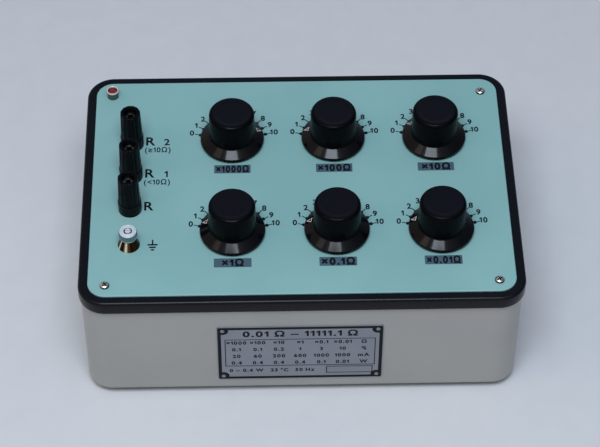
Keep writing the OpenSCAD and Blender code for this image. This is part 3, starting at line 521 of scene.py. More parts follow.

# %% [markdown]
# ## Metals of the earth terminal
# The foot of the earth terminal is stained brass, and its bright streaks are painted reflections of the
# lamp; the dark stained tone also stands in for the dark room that the polished cone mirrors. Its nut is
# frosted on top, and the top is also painted paler as lit and the side darker as shaded, with painted
# shade in the groove round the bore. A mask for each is a smooth step in height, radius or angle, and
# frosted metal scatters light as paint does, so it is less metallic there.

# %% Stained brass and frosted plating, with painted reflections and painted shade
EARTH_CONE_TOP = 8.0
CONE_EDGE = 0.2
# Angles and half-widths of the painted reflections: bright streaks where the cone would mirror the lamp.
PAINTED_GLINTS = [(-1.82, 0.26), (-2.6, 0.17), (0.9, 0.3), (2.3, 0.2)]
GLINT_PALE = 0.75
STAINS = 2.3
STAIN_EDGE = (0.45, 0.7)
FOOT_RINGS = 2400.0
FOOT_ROUGH = 0.2
FOOT_RING_ROUGH = 0.12
FOOT_DEPTH = 0.004 * MM
FROST_EDGE = (0.4, 0.2)
# The top is paler and less metallic: partly frosting, partly painted light on the lit top.
FROST_PALE = 0.7
FROST_RINGS = 3600.0
FROST_GRAINS = 2600.0
FROST_ROUGH = 0.2
FROST_DEPTH = 0.02 * MM
NUT_ROUGH = 0.26
# Radii in mm inside which the groove round the bore is painted dark as shade.
NUT_GROOVE_SHADE = (3.0, 2.6)

nut_top = height_over_panel("earth_nut", 1)


def in_metres(lengths):
    """Lengths in mm as metres."""
    return [length * MM for length in lengths]


def streaked_foot(name, dark, brown, bright, plate):
    """Dark stained brass with painted reflections: bright streaks at chosen angles about its axis, and a
    plated stud.
    """
    metal = Finish(name, {"Metallic": 1.0})
    x, y, z = metal.axes(metal.place(earth_at))
    turn = metal.maths("ARCTAN2", y, x)
    glint = 0.0
    for angle, half in PAINTED_GLINTS:
        glint = glint + (half - metal.maths("ABSOLUTE", turn - angle)).between(0.0, half)
    rings = metal.rings(earth_at, FOOT_RINGS)
    stud = z.between(*in_metres([EARTH_CONE_TOP, EARTH_CONE_TOP + CONE_EDGE]))
    stained = metal.noise_on(turn, STAINS, CLOUDY).between(*STAIN_EDGE)
    cone = metal.blend(metal.blend(dark, brown, stained), bright, glint)
    tone = metal.blend(cone, plate, stud)
    metal.feed(metal.shader, {"Metallic": 1.0 - GLINT_PALE * metal.maths("MAXIMUM", glint, stud)})
    return metal.surface(tone, FOOT_ROUGH + FOOT_RING_ROUGH * rings, metal.bump(rings, FOOT_DEPTH))


def frosted_nut(name, side, low, high, groove):
    """A plated nut whose turned top is frosted and painted pale as lit, with its side a darker shaded copy
    and painted shade in the groove round the bore.
    """
    metal = Finish(name)
    face = metal.height(panel_top).between(*in_metres([nut_top - edge for edge in FROST_EDGE]))
    deep = metal.radius(earth_at).between(*in_metres(NUT_GROOVE_SHADE))
    grain = 0.5 * metal.rings(earth_at, FROST_RINGS) + 0.5 * metal.noise(FROST_GRAINS)
    top = metal.blend(low, high, grain.patches())
    tone = metal.blend(metal.blend(side, top, face), groove, deep)
    metal.feed(metal.shader, {"Metallic": 1.0 - FROST_PALE * face})
    return metal.surface(tone, NUT_ROUGH + FROST_ROUGH * face, metal.bump(grain, FROST_DEPTH))


# Colours: the side, painted darker as shaded; the top's two tones, painted pale as lit; the painted shade
# in the groove.
nut_nickel = frosted_nut(
    "nut_nickel", card(138, 148, 154), card(172, 188, 198), card(240, 246, 248), card(20, 22, 28)
)
# Colours: dark and brown stain, which also stand in for the dark room the cone mirrors; the painted
# reflection of the streaks; the plated stud.
foot_brass = streaked_foot(
    "foot_brass", card(40, 24, 15), card(128, 76, 40), card(250, 222, 192), card(226, 222, 224)
)
print("earth terminal:", foot_brass.name, nut_nickel.name)

# %% [markdown]
# ## Metals of the sealing cup and the screws
# The cup is dull, and its rim is painted pale as a highlight, the lit copy of its darker body. Each screw
# is painted dark round its foot and in its recess as shade. Either could be painted on by hand, but here
# it is a matter of height over the panel, so one smooth step makes either mask.

# %% Metals with a painted highlight and painted shade
# Heights in mm over the panel where the cup turns to the painted highlight of its rim.
CUP_HIGHLIGHT = (4.9, 5.4)
CUP_METAL = 0.85
CUP_ROUGH = 0.35
CUP_SPECKS = 1800.0
HIGHLIGHT_PALE = 0.6
SPECK_SWING = 0.15
SPECK_DEPTH = 0.01 * MM
# Heights in mm over the panel below which a screw is painted dark as shade.
SCREW_SHADE = (0.9, 1.3)
SCREW_MARKS = 1500.0
LOW_HEAD_ROUGH = 0.34
HIGH_POLISH = 0.16
MARK_SWING = 0.1


def rimmed_cup(name, body, rim):
    """A dull drawn cup: its body is a darker shaded copy, and its rolled rim is painted bright as a
    highlight.
    """
    metal = Finish(name)
    highlit = metal.height(panel_top).between(*in_metres(CUP_HIGHLIGHT))
    specks = metal.noise(CUP_SPECKS, CLOUDY)
    metal.feed(metal.shader, {"Metallic": CUP_METAL - HIGHLIGHT_PALE * highlit})
    tone = metal.blend(body, rim, highlit)
    return metal.surface(tone, CUP_ROUGH + specks.swing(SPECK_SWING), metal.bump(specks, SPECK_DEPTH))


def grimy_screw(name, painted_shade, low, high):
    """A bright scratched screw with painted shade round its foot and in its recess, both low on the head.
    """
    metal = Finish(name, {"Metallic": 1.0})
    above_shade = metal.height(panel_top).between(*in_metres(SCREW_SHADE))
    marks = metal.noise(SCREW_MARKS, CLOUDY)
    tone = metal.blend(painted_shade, metal.blend(low, high, marks.patches()), above_shade)
    rough = LOW_HEAD_ROUGH - HIGH_POLISH * above_shade + marks.swing(MARK_SWING)
    return metal.surface(tone, rough, metal.bump(marks, SCRATCH_DEPTH))


# Body and rim: the shaded and the lit copy of one metal; the rim's colour is a painted highlight.
cup_nickel = rimmed_cup("cup_nickel", card(92, 104, 100), card(224, 206, 194))
# The first colour is the painted shade at each screw's foot and in its recess.
screw_nickel = grimy_screw("screw_nickel", card(24, 28, 28), card(196, 192, 182), card(246, 243, 234))
# The cup's rim carries a painted highlight, and the screws carry painted shade.
print("rubbed or shaded:", cup_nickel.name, screw_nickel.name)

# %% [markdown]
# ## Printing inks, wax and the pieces inside
# Ink is matt and a little uneven where it lies thin. Sealing wax is glossy and lumpy. The switch
# decks, bobbins and coils are hidden by the panel, but they are still shown when the part is opened,
# so each gets its own material: paper laminate, moulded cream plastic and lacquered wire.

# %% Inks, wax and inner finishes
THIN_PLACES = 1400.0
INK_ROUGH = 0.5
THIN_ROUGH = 0.2
FILM_DEPTH = 0.002 * MM
LACQUER = {"Coat Weight": 0.4}
WIRE_TURNS = 2200.0
WIRE_ROUGH = 0.5
WIRE_SHINE = 0.2
WIRE_DEPTH = 0.08 * MM
WAX_GLOSS = {"Coat Weight": 0.3}
LUMPS = 700.0
WAX_ROUGH = 0.3
LUMP_SWING = 0.2
LUMP_DEPTH = 0.06 * MM
# Share of the wax's radius over which the painted shadow of the cup's rim darkens it.
RIM_SHADOW = np.array([0.5, 0.95])

wax_low, wax_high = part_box("seal_wax")
wax_centre = np.array([(wax_low.x + wax_high.x) / 2.0, (wax_low.y + wax_high.y) / 2.0, 0.0])
wax_r = half_width("seal_wax") * MM


def ink(name, low, high):
    """A thin printed film with slightly thin places."""
    film = Finish(name, SOFT_GLOSS)
    thin = film.noise(THIN_PLACES, CLOUDY)
    tone = film.blend(low, high, thin)
    return film.surface(tone, INK_ROUGH + THIN_ROUGH * thin, film.bump(thin, FILM_DEPTH))


def wound_wire(name, low, high, per_metre):
    """Lacquered wire wound close: a sine wave along the bobbin's height, one ridge to each winding, with
    painted shade darkening the valleys.
    """
    wire = Finish(name, LACQUER)
    lit_ridges = 0.5 + 0.5 * wire.maths("SINE", wire.height(0.0) * (2.0 * math.pi * per_metre))
    tone = wire.blend(low, high, lit_ridges)
    return wire.surface(tone, WIRE_ROUGH - WIRE_SHINE * lit_ridges, wire.bump(lit_ridges, WIRE_DEPTH))


def sealing_wax(name, edge, low, high):
    """Glossy red wax with lumps, darkened towards the cup's wall by a painted shadow of the cup's rim."""
    wax = Finish(name, WAX_GLOSS)
    lumps = wax.noise(LUMPS)
    rim_shadow = wax.radius(wax_centre).between(*(RIM_SHADOW * wax_r))
    tone = wax.blend(wax.blend(low, high, lumps.patches()), edge, rim_shadow)
    return wax.surface(tone, WAX_ROUGH + lumps.swing(LUMP_SWING), wax.bump(lumps, LUMP_DEPTH))


print_black = ink("print_black", card(8, 12, 16), card(16, 20, 25))
print_grey = ink("print_grey", card(66, 88, 102), card(76, 97, 111))
print_white = ink("print_white", card(206, 190, 182), card(224, 212, 204))
# The first colour is the painted shadow of the cup's rim on the wax's edge.
seal_red = sealing_wax("seal_red", card(30, 8, 8), card(96, 14, 14), card(168, 44, 38))
laminate = enamel(
    "laminate", card(92, 58, 34), card(122, 80, 48), roughness=0.5, grains=1000.0, depth=0.01 * MM
)
bobbin_cream = enamel(
    "bobbin_cream", card(206, 196, 168), card(222, 214, 190), roughness=0.5, grains=900.0, depth=0.01 * MM
)
# The darker colour is painted shade in the valleys between the windings.
winding_wire = wound_wire("winding_wire", card(96, 44, 20), card(168, 92, 44), WIRE_TURNS)
print("inks:", print_black.name, print_grey.name, print_white.name)

# %% [markdown]
# ## Finishes for the pieces that stay as they are
# A CAD node whose shape is right keeps its mesh and only gets a better material. The list below goes
# from a finish to the nodes that wear it. The pieces that are missing from it are made anew further on.

# %% Dress the CAD nodes
WEARS = [
    (case_enamel, ["case"]),
    (panel_paint, ["panel"]),
    (nickel, ["foot_screws", "pillar_screws"] + [f"knob_screw_{dial}" for dial in DIALS]),
    (nickel, ["post_nuts", "bush_nuts", "earth_lock_nut", "earth_washer"]),
    (shade_dimmed_nickel, ["post_studs"]),
    (rubber, ["feet"]),
    (plate_silver, ["nameplate"]),
    (brass, ["switch_bushes", "plate_pillars", "contact_studs", "collector_arcs"]),
    (brass, [f"post_insert_{post}" for post in POSTS]),
    (laminate, ["contact_plates"]),
    (spring_steel, ["nameplate_rivets", "detent_springs"] + [f"spindle_{dial}" for dial in DIALS]),
    (bobbin_cream, ["coil_bobbins"]),
    (winding_wire, ["coil_windings"]),
    (copper, ["bus_wires"] + [f"wiper_{dial}" for dial in DIALS]),
    (cap_black, ["post_collars", "post_washers"]),
    (foot_brass, ["earth_post"]),
]


def dress(node, material):
    """Gives a CAD node one material in place of what it came with."""
    node.data.materials.clear()
    node.data.materials.append(material)


for material, names in WEARS:
    for name in names:
        dress(nodes[name], material)
print("dressed", sum(len(names) for _, names in WEARS), "of", len(nodes), "nodes")

# %% [markdown]
# ## Surfaces from arrays
# Every new piece is a grid of points: a row for each point of a profile, which runs round an axis or
# along a closed path, and neighbours are joined by four-sided faces. Whole arrays keep the formula of a
# shape in view, where moving one vertex at a time would hide it.

# %% Grids and profiles
ARC_PIECES = 6


def grid_faces(rows, columns, ring):
    """Four-sided faces between neighbours in a grid of points numbered row by row. Every row closes into a
    ring, and the last row joins the first one if the columns are rings too."""
    row = np.arange(rows if ring else rows - 1)
    i, j = np.meshgrid(row, np.arange(columns), indexing="ij")
    i_next = (i + 1) % rows
    j_next = (j + 1) % columns
    corners = [i * columns + j, i * columns + j_next, i_next * columns + j_next, i_next * columns + j]
    return np.stack(corners, axis=-1).reshape(-1, 4)


def rounded(points, cuts, pieces=ARC_PIECES, ring=False):
    """A polyline with circular corners: each arc leaves its sides at a cut's distance from corner p and
    is the conic (u^2 a + 2 u t w p + t^2 b) / (u^2 + 2 u t w + t^2), u = 1 - t, w = sin(corner / 2)."""
    p = np.asarray(points, float)
    corner = p if ring else p[1:-1]
    back = (np.roll(p, 1, axis=0) if ring else p[:-2]) - corner
    ahead = (np.roll(p, -1, axis=0) if ring else p[2:]) - corner
    back = back / np.linalg.norm(back, axis=1, keepdims=True)
    ahead = ahead / np.linalg.norm(ahead, axis=1, keepdims=True)
    cut = np.asarray(cuts, float)[:, None]
    a = (corner + back * cut)[:, None]
    b = (corner + ahead * cut)[:, None]
    w = np.sqrt((1.0 - (back * ahead).sum(axis=1)) / 2.0)[:, None, None]
    t = np.linspace(0.0, 1.0, pieces + 1)[None, :, None]
    u = 1.0 - t
    arc = (u * u * a + 2 * u * t * w * corner[:, None] + t * t * b) / (u * u + 2 * u * t * w + t * t)
    arcs = arc.reshape(-1, p.shape[1])
    return arcs if ring else np.concatenate([p[:1], arcs, p[-1:]])


def turned(profile, sides, swell=None):
    """A profile (r, z) in mm turned about Z: (r cos a, r sin a, z). swell(r, z, a) may change r."""
    angle = full_turn(sides)[None, :]
    r = profile[:, :1]
    z = profile[:, 1:] + 0.0 * angle
    radius = (r if swell is None else swell(r, z, angle)) + 0.0 * angle
    return np.stack([radius * np.cos(angle), radius * np.sin(angle), z], axis=-1) * MM


print("a turned line of 4 points and 8 sides has", len(grid_faces(4, 8, False)), "faces")

# %% [markdown]
# ## From arrays to pieces
# A grid comes to the mesh as loose sheets, so points that lie on one another are merged: that closes
# seams and poles. A piece is smooth up to its sharp edges, has one finish and rides on a CAD body.

# %% Meshes and pieces
WELD = 0.0005 * MM
SHARP_EDGE = 35.0


def welded(name, points, faces):
    """A mesh of points and faces with its seams and poles closed and its faces outwards."""
    mesh = bpy.data.meshes.new(name)
    mesh.from_pydata(points.reshape(-1, 3).tolist(), [], faces.tolist())
    sheet = bmesh.new()
    sheet.from_mesh(mesh)
    bmesh.ops.remove_doubles(sheet, verts=sheet.verts, dist=WELD)
    bmesh.ops.dissolve_degenerate(sheet, edges=sheet.edges, dist=WELD)
    bmesh.ops.recalc_face_normals(sheet, faces=sheet.faces)
    sheet.to_mesh(mesh)
    sheet.free()
    return mesh


def round_mesh(name, points, ring=True):
    """A welded mesh of a section carried all the way round: a ring, or a line with its ends on the axis."""
    return welded(name, points, grid_faces(*points.shape[:2], ring))


def add_piece(name, mesh, finish, body, sharp=SHARP_EDGE):
    """Smooths a mesh up to its sharp edges, gives it a finish and rides it on a CAD body."""
    mesh.shade_smooth()
    mesh.set_sharp_from_angle(angle=math.radians(sharp))
    mesh.materials.clear()
    mesh.materials.append(finish)
    piece = bpy.data.objects.new(name, mesh)
    bpy.context.scene.collection.objects.link(piece)
    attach(piece, body)
    return piece


print("points closer than", WELD / MM, "mm are merged")

# %% [markdown]
# ## Knobs
# Each knob is a black pressing: a coned skirt, a grip that tapers a little, a round shoulder and a
# shallow dish on top. It is hollow below, with a hub for the spindle. Cones and cylinders could be
# stacked, but one profile turned about the dial's axis gives all of it, with true arcs at the corners.

# %% Draw the knob's profile
SKIRT_R = 22.0
SKIRT_LOW = 1.5
SKIRT_RIM = 3.55
CONE_TOP = 7.8
GRIP_LOW_R = 15.9
GRIP_HIGH_R = 15.6
SHOULDER = 2.6
DISH = 0.4
DISH_R = 11.9
DISH_RAMP = 1.6
KNOB_WALL = 2.0
KNOB_ROOF = 5.0
HUB_R = 8.0
HUB_LOW = 3.6
BORE_R = 3.05
DISH_EDGE = 0.6
GRIP_FOOT = 0.6
SKIRT_EDGE = 0.5
SKIRT_FOOT = 0.4
RIM_WALL = 0.5
CONE_WALL = 1.0
BORE_SPARE = 0.5

knob_top = height_over_panel("knob_x1000", 1)


def knob_profile():
    """The knob's outline from the middle of its top, down outside, and up again to the bore's end."""
    outside = [
        (0.0, knob_top - DISH), (DISH_R - DISH_RAMP, knob_top - DISH), (DISH_R, knob_top),
        (GRIP_HIGH_R, knob_top), (GRIP_LOW_R, CONE_TOP), (SKIRT_R, SKIRT_RIM), (SKIRT_R, SKIRT_LOW),
    ]
    outside_cuts = [DISH_EDGE, DISH_EDGE, SHOULDER, GRIP_FOOT, SKIRT_EDGE, SKIRT_FOOT]
    roof = knob_top - KNOB_ROOF
    bore_end = roof - BORE_SPARE
    grip_inside = GRIP_HIGH_R - KNOB_WALL
    skirt_inside = SKIRT_R - KNOB_WALL
    inside = [
        (skirt_inside, SKIRT_LOW), (skirt_inside, SKIRT_RIM - RIM_WALL),
        (grip_inside, CONE_TOP - CONE_WALL), (grip_inside, roof), (HUB_R, roof), (HUB_R, HUB_LOW),
        (BORE_R, HUB_LOW), (BORE_R, bore_end), (0.0, bore_end),
    ]
    return rounded(outside + inside, outside_cuts + [0.0] * (len(inside) - 1))


profile = knob_profile()
print("a knob has", len(profile), "points along its outline and is", 2.0 * SKIRT_R, "mm wide")

# %% [markdown]
# ## The grub screw's hole
# A grub screw in the side of each knob holds it on its spindle. The real hole is drilled through the
# turned knob, on the pointer's side, and so is this one: a Boolean modifier takes a rod away.

# %% Drill and add the knobs
KNOB_SIDES = 144
GRUB_HEIGHT = 11.8
GRUB_BORE = 2.05
ROD_SIDES = 32
GRIP = ((CONE_TOP - GRIP_FOOT) * MM, (GRIP_HIGH_R - SHOULDER) * MM)


def rod(start, direction, length, radius, sides):
    """A closed rod from a point: rings of start + radius (cos a, sin a) across a level direction."""
    angle = full_turn(sides)
    across = np.array([-direction[1], direction[0], 0.0])
    ring = np.cos(angle)[:, None] * across + np.sin(angle)[:, None] * np.array([0.0, 0.0, 1.0])
    size = np.array([0.0, radius, radius, 0.0])[:, None, None]
    along = np.array([0.0, 0.0, length, length])[:, None, None]
    return start + size * ring + along * np.asarray(direction)


def cut_away(mesh, tool):
    """The mesh with a closed tool taken out of it."""
    holder = bpy.data.objects.new("holder", mesh)
    cutter = bpy.data.objects.new("cutter", tool)
    for item in (holder, cutter):
        bpy.context.scene.collection.objects.link(item)
    bore = holder.modifiers.new("bore", "BOOLEAN")
    bore.operation = "DIFFERENCE"
    bore.object = cutter
    shape = holder.evaluated_get(bpy.context.evaluated_depsgraph_get())
    result = bpy.data.meshes.new_from_object(shape)
    for item in (holder, cutter):
        bpy.data.objects.remove(item)
    return result


for dial in DIALS:
    turn = math.radians(pointer_angle[dial])
    outwards = np.array([math.cos(turn), math.sin(turn), 0.0])
    hole_start = dial_at[dial] + np.array([0.0, 0.0, GRUB_HEIGHT * MM])
    hole = rod(hole_start, outwards, SKIRT_R * MM, GRUB_BORE * MM, ROD_SIDES)
    knob_mesh = round_mesh("knob", turned(profile, KNOB_SIDES) + dial_at[dial], False)
    drilled = cut_away(knob_mesh, round_mesh("hole", hole, False))
    knob_black = polished_black(f"knob_black_{dial}", card(4, 5, 8), card(10, 9, 12), dial_at[dial], GRIP)
    knob = add_piece(f"turned_knob_{dial}", drilled, knob_black, f"dial_{dial}")
    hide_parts(f"knob_{dial}")
print("a drilled knob has", len(drilled.polygons), "faces")

# %% [markdown]
# ## Binding-post caps
# A cap is a black moulding that is turned by hand, so its grip has twelve flutes. The real tool that
# makes them is a round cutter that runs up the grip. Here the radius is the smaller of two: the plain
# cone, and the near side of the cutter's circle. Inside are the plug's recess and the insert's room.

# %% Turn the caps
CAP_SIDES = 240
FLUTES = 12
FLUTE_R = 1.0
FLUTE_OUT = 0.55
FLUTE_RUN = 0.8
FLANGE_R = 8.0
FLANGE_H = 3.0
GRIP_START_R = 7.5
GRIP_END_R = 6.8
FLUTE_START = 1.2
RECESS_R = 4.5
STUD_ROOM_R = 3.5
INSERT_R = 4.55
INSERT_SPARE = 0.3
INSERT_ROOM_R = 5.8
INSERT_ROOM_H = 1.7
FLANGE_SLOPE = 0.8
FADE_TAPER = 0.03
CAP_FOOT = 0.4
CAP_EDGE = 0.3
CAP_SHOULDER = 0.6
BORE_EDGE = 0.1
CAP_ARC = 4

cap_low = height_over_panel("post_cap_r", 0)
cap_top = height_over_panel("post_cap_r", 1)
grip_low = cap_low + FLANGE_H
stud_top = height_over_panel("post_studs", 1)
insert_top = height_over_panel("post_insert_r", 1) + INSERT_SPARE


def fluted(r, z, a):
    """min(r, d cos p - sqrt(f^2 - d^2 sin^2 p)): a cutter of radius f at a distance d, p from its axis."""
    pitch = 2.0 * np.pi / FLUTES
    p = (a + pitch / 2.0) % pitch - pitch / 2.0
    cone = GRIP_START_R + (GRIP_END_R - GRIP_START_R) * (z - grip_low) / (cap_top - grip_low)
    d = cone + FLUTE_OUT
    inside = FLUTE_R**2 - (d * np.sin(p)) ** 2
    groove = np.where(inside > 0.0, d * np.cos(p) - np.sqrt(np.maximum(inside, 0.0)), FLANGE_R)
    run = np.clip((z - grip_low - FLUTE_START) / FLUTE_RUN, 0.0, 1.0)
    return r - run * np.maximum(r - groove, 0.0)


def cap_profile():
    """A ring of points round the cap's section: up the outside, and down through the bores."""
    fade = grip_low + FLUTE_START
    outside = [
        (FLANGE_R, cap_low), (FLANGE_R, grip_low - FLANGE_SLOPE), (GRIP_START_R, grip_low),
        (GRIP_START_R - FADE_TAPER, fade), (GRIP_START_R - 2.0 * FADE_TAPER, fade + FLUTE_RUN),
        (GRIP_END_R, cap_top), (RECESS_R, cap_top),
    ]
    outside_cuts = [CAP_FOOT] + [CAP_EDGE] * 4 + [CAP_SHOULDER, CAP_EDGE]
    inside = [
        (RECESS_R, stud_top), (STUD_ROOM_R, stud_top), (STUD_ROOM_R, insert_top), (INSERT_R, insert_top),
        (INSERT_R, cap_low + INSERT_ROOM_H), (INSERT_ROOM_R, cap_low + INSERT_ROOM_H),
        (INSERT_ROOM_R, cap_low),
    ]
    return rounded(outside + inside, outside_cuts + [BORE_EDGE] * len(inside), CAP_ARC, True)


cap_points = turned(cap_profile(), CAP_SIDES, fluted)
for post in POSTS:
    cap_mesh = round_mesh("cap", cap_points + post_at[post])
    cap = add_piece(f"fluted_cap_{post}", cap_mesh, cap_black, f"cap_{post}")
    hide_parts(f"post_cap_{post}")
print("caps stand", round(cap_top, 1), "mm over the panel with", FLUTES, "flutes")

# %% [markdown]
# ## The bezel
# The bezel is one moulding that runs round the panel's edge: a skirt outside the case, a lip inside
# it and a ledge under the panel. A bevelled box would do for the outside, but a section carried round
# the panel's outline gives lip and ledge too. Each corner is a quarter turn about the corner's own
# centre, and the round outer edge catches a thin line of light.

# %% Sweep the bezel
CORNER_R = 12.0
CORNER_STEPS = 24
PANEL_GAP = 0.2
LEDGE = 3.0
LIP_OUT = 1.7
SKIRT_IN = 4.9
FLANGE_T = 2.5
LEDGE_T = 2.0
HIDDEN_EDGE = 0.1
SEAT_EDGE = 0.05
INNER_FOOT = 0.3
OUTER_FOOT = 0.4
OUTER_EDGE = 2.2
PANEL_EDGE = 0.35
BEZEL_ARC = 8
BEZEL_SHARP = 30.0

panel_low_corner, panel_high_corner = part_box("panel")
bezel_low_corner, bezel_high_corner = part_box("bezel")


def bezel_section():
    """A ring of points (out, z) in mm: out from the panel's edge, z over the table."""
    top = bezel_high_corner.z / MM
    out = (bezel_high_corner.x - panel_high_corner.x) / MM
    low = bezel_low_corner.z / MM
    seat = panel_low_corner.z / MM
    case_top = top - FLANGE_T
    corners = [
        (-LEDGE, seat - LEDGE_T), (LIP_OUT, seat - LEDGE_T), (LIP_OUT, case_top), (SKIRT_IN, case_top),
        (SKIRT_IN, low), (out, low), (out, top), (PANEL_GAP, top), (PANEL_GAP, seat), (-LEDGE, seat),
    ]
    seen_cuts = [INNER_FOOT, OUTER_FOOT, OUTER_EDGE, PANEL_EDGE]
    return rounded(corners, [HIDDEN_EDGE] * 4 + seen_cuts + [SEAT_EDGE, HIDDEN_EDGE], BEZEL_ARC, True)


def round_the_panel(section):
    """Carries (out, z) round the panel: corner centre + (corner radius + out)(cos a, sin a)."""
    quarter = np.arange(4)[:, None] * np.pi / 2.0
    angle = (quarter + np.linspace(0.0, np.pi / 2.0, CORNER_STEPS + 1)).reshape(-1)
    half = np.array([panel_high_corner.x, panel_high_corner.y]) / MM - CORNER_R
    middle = np.pi / 4.0 + np.repeat(quarter, CORNER_STEPS + 1)
    centre = np.sign(np.stack([np.cos(middle), np.sin(middle)], axis=-1)) * half
    reach = CORNER_R + section[:, :1]
    x = centre[:, 0] + reach * np.cos(angle)
    y = centre[:, 1] + reach * np.sin(angle)
    return np.stack([x, y, section[:, 1:] + 0.0 * x], axis=-1) * MM


bezel_points = round_the_panel(bezel_section())
bezel_mesh = round_mesh("bezel", bezel_points)
moulded_bezel = add_piece("moulded_bezel", bezel_mesh, bezel_black, "root", BEZEL_SHARP)
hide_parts("bezel")
print("the bezel's section of", len(bezel_points), "points goes through", bezel_points.shape[1], "places")

# %% [markdown]
# ## The earth nut
# The nut of the earth terminal is knurled for the fingers and turned on top, where it is frosted and also
# painted pale as lit, with a groove round its bore that is painted dark as shade. A knurl is cut by a
# roller with teeth, so a wave of triangles is taken off the radius where the profile reaches it. The
# turned top is a fine zigzag in the profile itself.

# %% Turn the nut
NUT_SIDES = 288
KNURLS = 36
KNURL_DEPTH = 0.35
KNURL_FADE = 0.3
NUT_R = 6.2
NUT_BORE = 2.05
NUT_GROOVE_R = 2.8
NUT_GROOVE = 1.2
NUT_BEVEL = 0.7
NUT_CHAMFER_R = 0.5
NUT_CHAMFER_H = 0.6
CHAMFER_EDGE = 0.15
BEVEL_EDGE = 0.2
RIDGES = 6
RIDGE_DEPTH = 0.09
RIDGE_EDGE = 0.04
NUT_ARC = 2
NUT_SHARP = 25.0

nut_low = height_over_panel("earth_nut", 0)


def knurled(r, z, a):
    """The radius less a triangle wave round the edge, where the profile reaches the full radius."""
    wave = np.abs((a * KNURLS / np.pi) % 2.0 - 1.0)
    return r - KNURL_DEPTH * wave * np.clip((r - NUT_R + KNURL_FADE) / KNURL_FADE, 0.0, 1.0)


def nut_profile():
    """A ring of points round the nut's section: a zigzag of turned ridges runs from edge to groove."""
    side = [
        (NUT_BORE, nut_low), (NUT_R - NUT_CHAMFER_R, nut_low), (NUT_R, nut_low + NUT_CHAMFER_H),
        (NUT_R, nut_top - NUT_BEVEL),
    ]
    side_cuts = [BORE_EDGE, CHAMFER_EDGE, CHAMFER_EDGE, BEVEL_EDGE]
    ridge_r = np.linspace(NUT_R - NUT_BEVEL, NUT_GROOVE_R, 2 * RIDGES + 1)
    ridge_z = nut_top - RIDGE_DEPTH * (np.arange(2 * RIDGES + 1) % 2)
    groove = [(NUT_GROOVE_R, nut_top - NUT_GROOVE), (NUT_BORE, nut_top - NUT_GROOVE)]
    corners = np.concatenate([side, np.column_stack([ridge_r, ridge_z]), groove])
    return rounded(corners, side_cuts + [RIDGE_EDGE] * len(ridge_r) + [BORE_EDGE] * 2, NUT_ARC, True)


nut_mesh = round_mesh("nut", turned(nut_profile(), NUT_SIDES, knurled) + earth_at)
nut = add_piece("knurled_nut", nut_mesh, nut_nickel, "earth_nut", NUT_SHARP)
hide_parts("earth_nut")
print("the nut has", KNURLS, "knurls and", RIDGES, "turned ridges")

# %% [markdown]
# ## The sealing cup and its wax
# One of the panel's screws is sealed: a small drawn cup stands under its head, with a waist and a
# round bead at the rim. The wax was poured into it and pressed while soft, so its top lies in low
# waves inside the bead. Cup and wax are turned profiles. The waves could be sculpted by hand, but a
# formula that lowers the wax's top makes the same ones on every run.

# %% Draw the cup and pour the wax
CUP_SIDES = 96
CUP_HOLE = 1.7
CUP_WALL = 0.8
CUP_WAIST = 0.35
CUP_BEAD = 1.1
CUP_FOOT = 0.1
CUP_BEND = 0.2
CUP_ROLL = 0.38
HOLE_EDGE = 0.05
WAX_SIDES = 72
WAX_ROWS = 13
WAX_SUNK = 1.1
WAX_LUMP = 0.5
WAX_ROLL = 0.12

cup_low, cup_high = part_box("seal_cup")
cup_foot = np.array([wax_centre[0], wax_centre[1], cup_low.z])


def cup_profile(radius, height):
    """A ring of points round the cup's section: a floor with a hole, a waisted wall and a round bead."""
    waist = radius - CUP_WAIST
    room = radius - CUP_WALL
    bead_low = height - CUP_BEAD
    corners = [
        (CUP_HOLE, 0.0), (radius - CUP_FOOT, 0.0), (waist, CUP_WALL), (waist, bead_low - CUP_WAIST),
        (radius, bead_low), (radius, height), (room, height), (room, CUP_WALL), (CUP_HOLE, CUP_WALL),
    ]
    bead_cuts = [CUP_BEND] * 3 + [CUP_ROLL] * 2
    return rounded(corners, [HOLE_EDGE, CUP_FOOT] + bead_cuts + [CUP_FOOT, HOLE_EDGE], ring=True)


def wax_profile(radius, low, high):
    """The wax's section from the middle of its foot, out to the cup's wall and in over its top."""
    top = np.linspace(1.0, 0.0, WAX_ROWS)[:, None] * [radius, 0.0] + [0.0, high]
    return np.concatenate([[[0.0, low], [radius, low]], top])


def rolling(points, centre, radius, top):
    """Lowers the wax's top by sunk - lump (1 - s^2)^2 + roll s (1 + cos(3 a + 1) cos 2 a), where a is the
    angle about the centre and s goes from 0 there to 1 at the radius."""
    x, y = points[..., 0] - centre[0], points[..., 1] - centre[1]
    s = np.hypot(x, y) / radius
    a = np.arctan2(y, x)
    waves = WAX_ROLL * s * (1.0 + np.cos(3.0 * a + 1.0) * np.cos(2.0 * a))
    drop = WAX_SUNK - WAX_LUMP * (1.0 - s * s) ** 2 + waves
    at_top = points[..., 2] > top - WELD
    lowered = points.copy()
    lowered[..., 2] -= np.where(at_top, drop * MM, 0.0)
    return lowered


wax_section = wax_profile(wax_r / MM, wax_low.z / MM, wax_high.z / MM)
wax_points = rolling(turned(wax_section, WAX_SIDES) + wax_centre, wax_centre, wax_r, wax_high.z)
wax_mesh = round_mesh("wax", wax_points, False)
wax = add_piece("poured_wax", wax_mesh, seal_red, "root")
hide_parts("seal_wax")
cup_section = cup_profile(half_width("seal_cup"), (cup_high.z - cup_low.z) / MM)
cup_mesh = round_mesh("cup", turned(cup_section, CUP_SIDES) + cup_foot)
cup = add_piece("beaded_cup", cup_mesh, cup_nickel, "root")
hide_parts("seal_cup")
print("the wax lies", WAX_SUNK, "mm down in its cup")

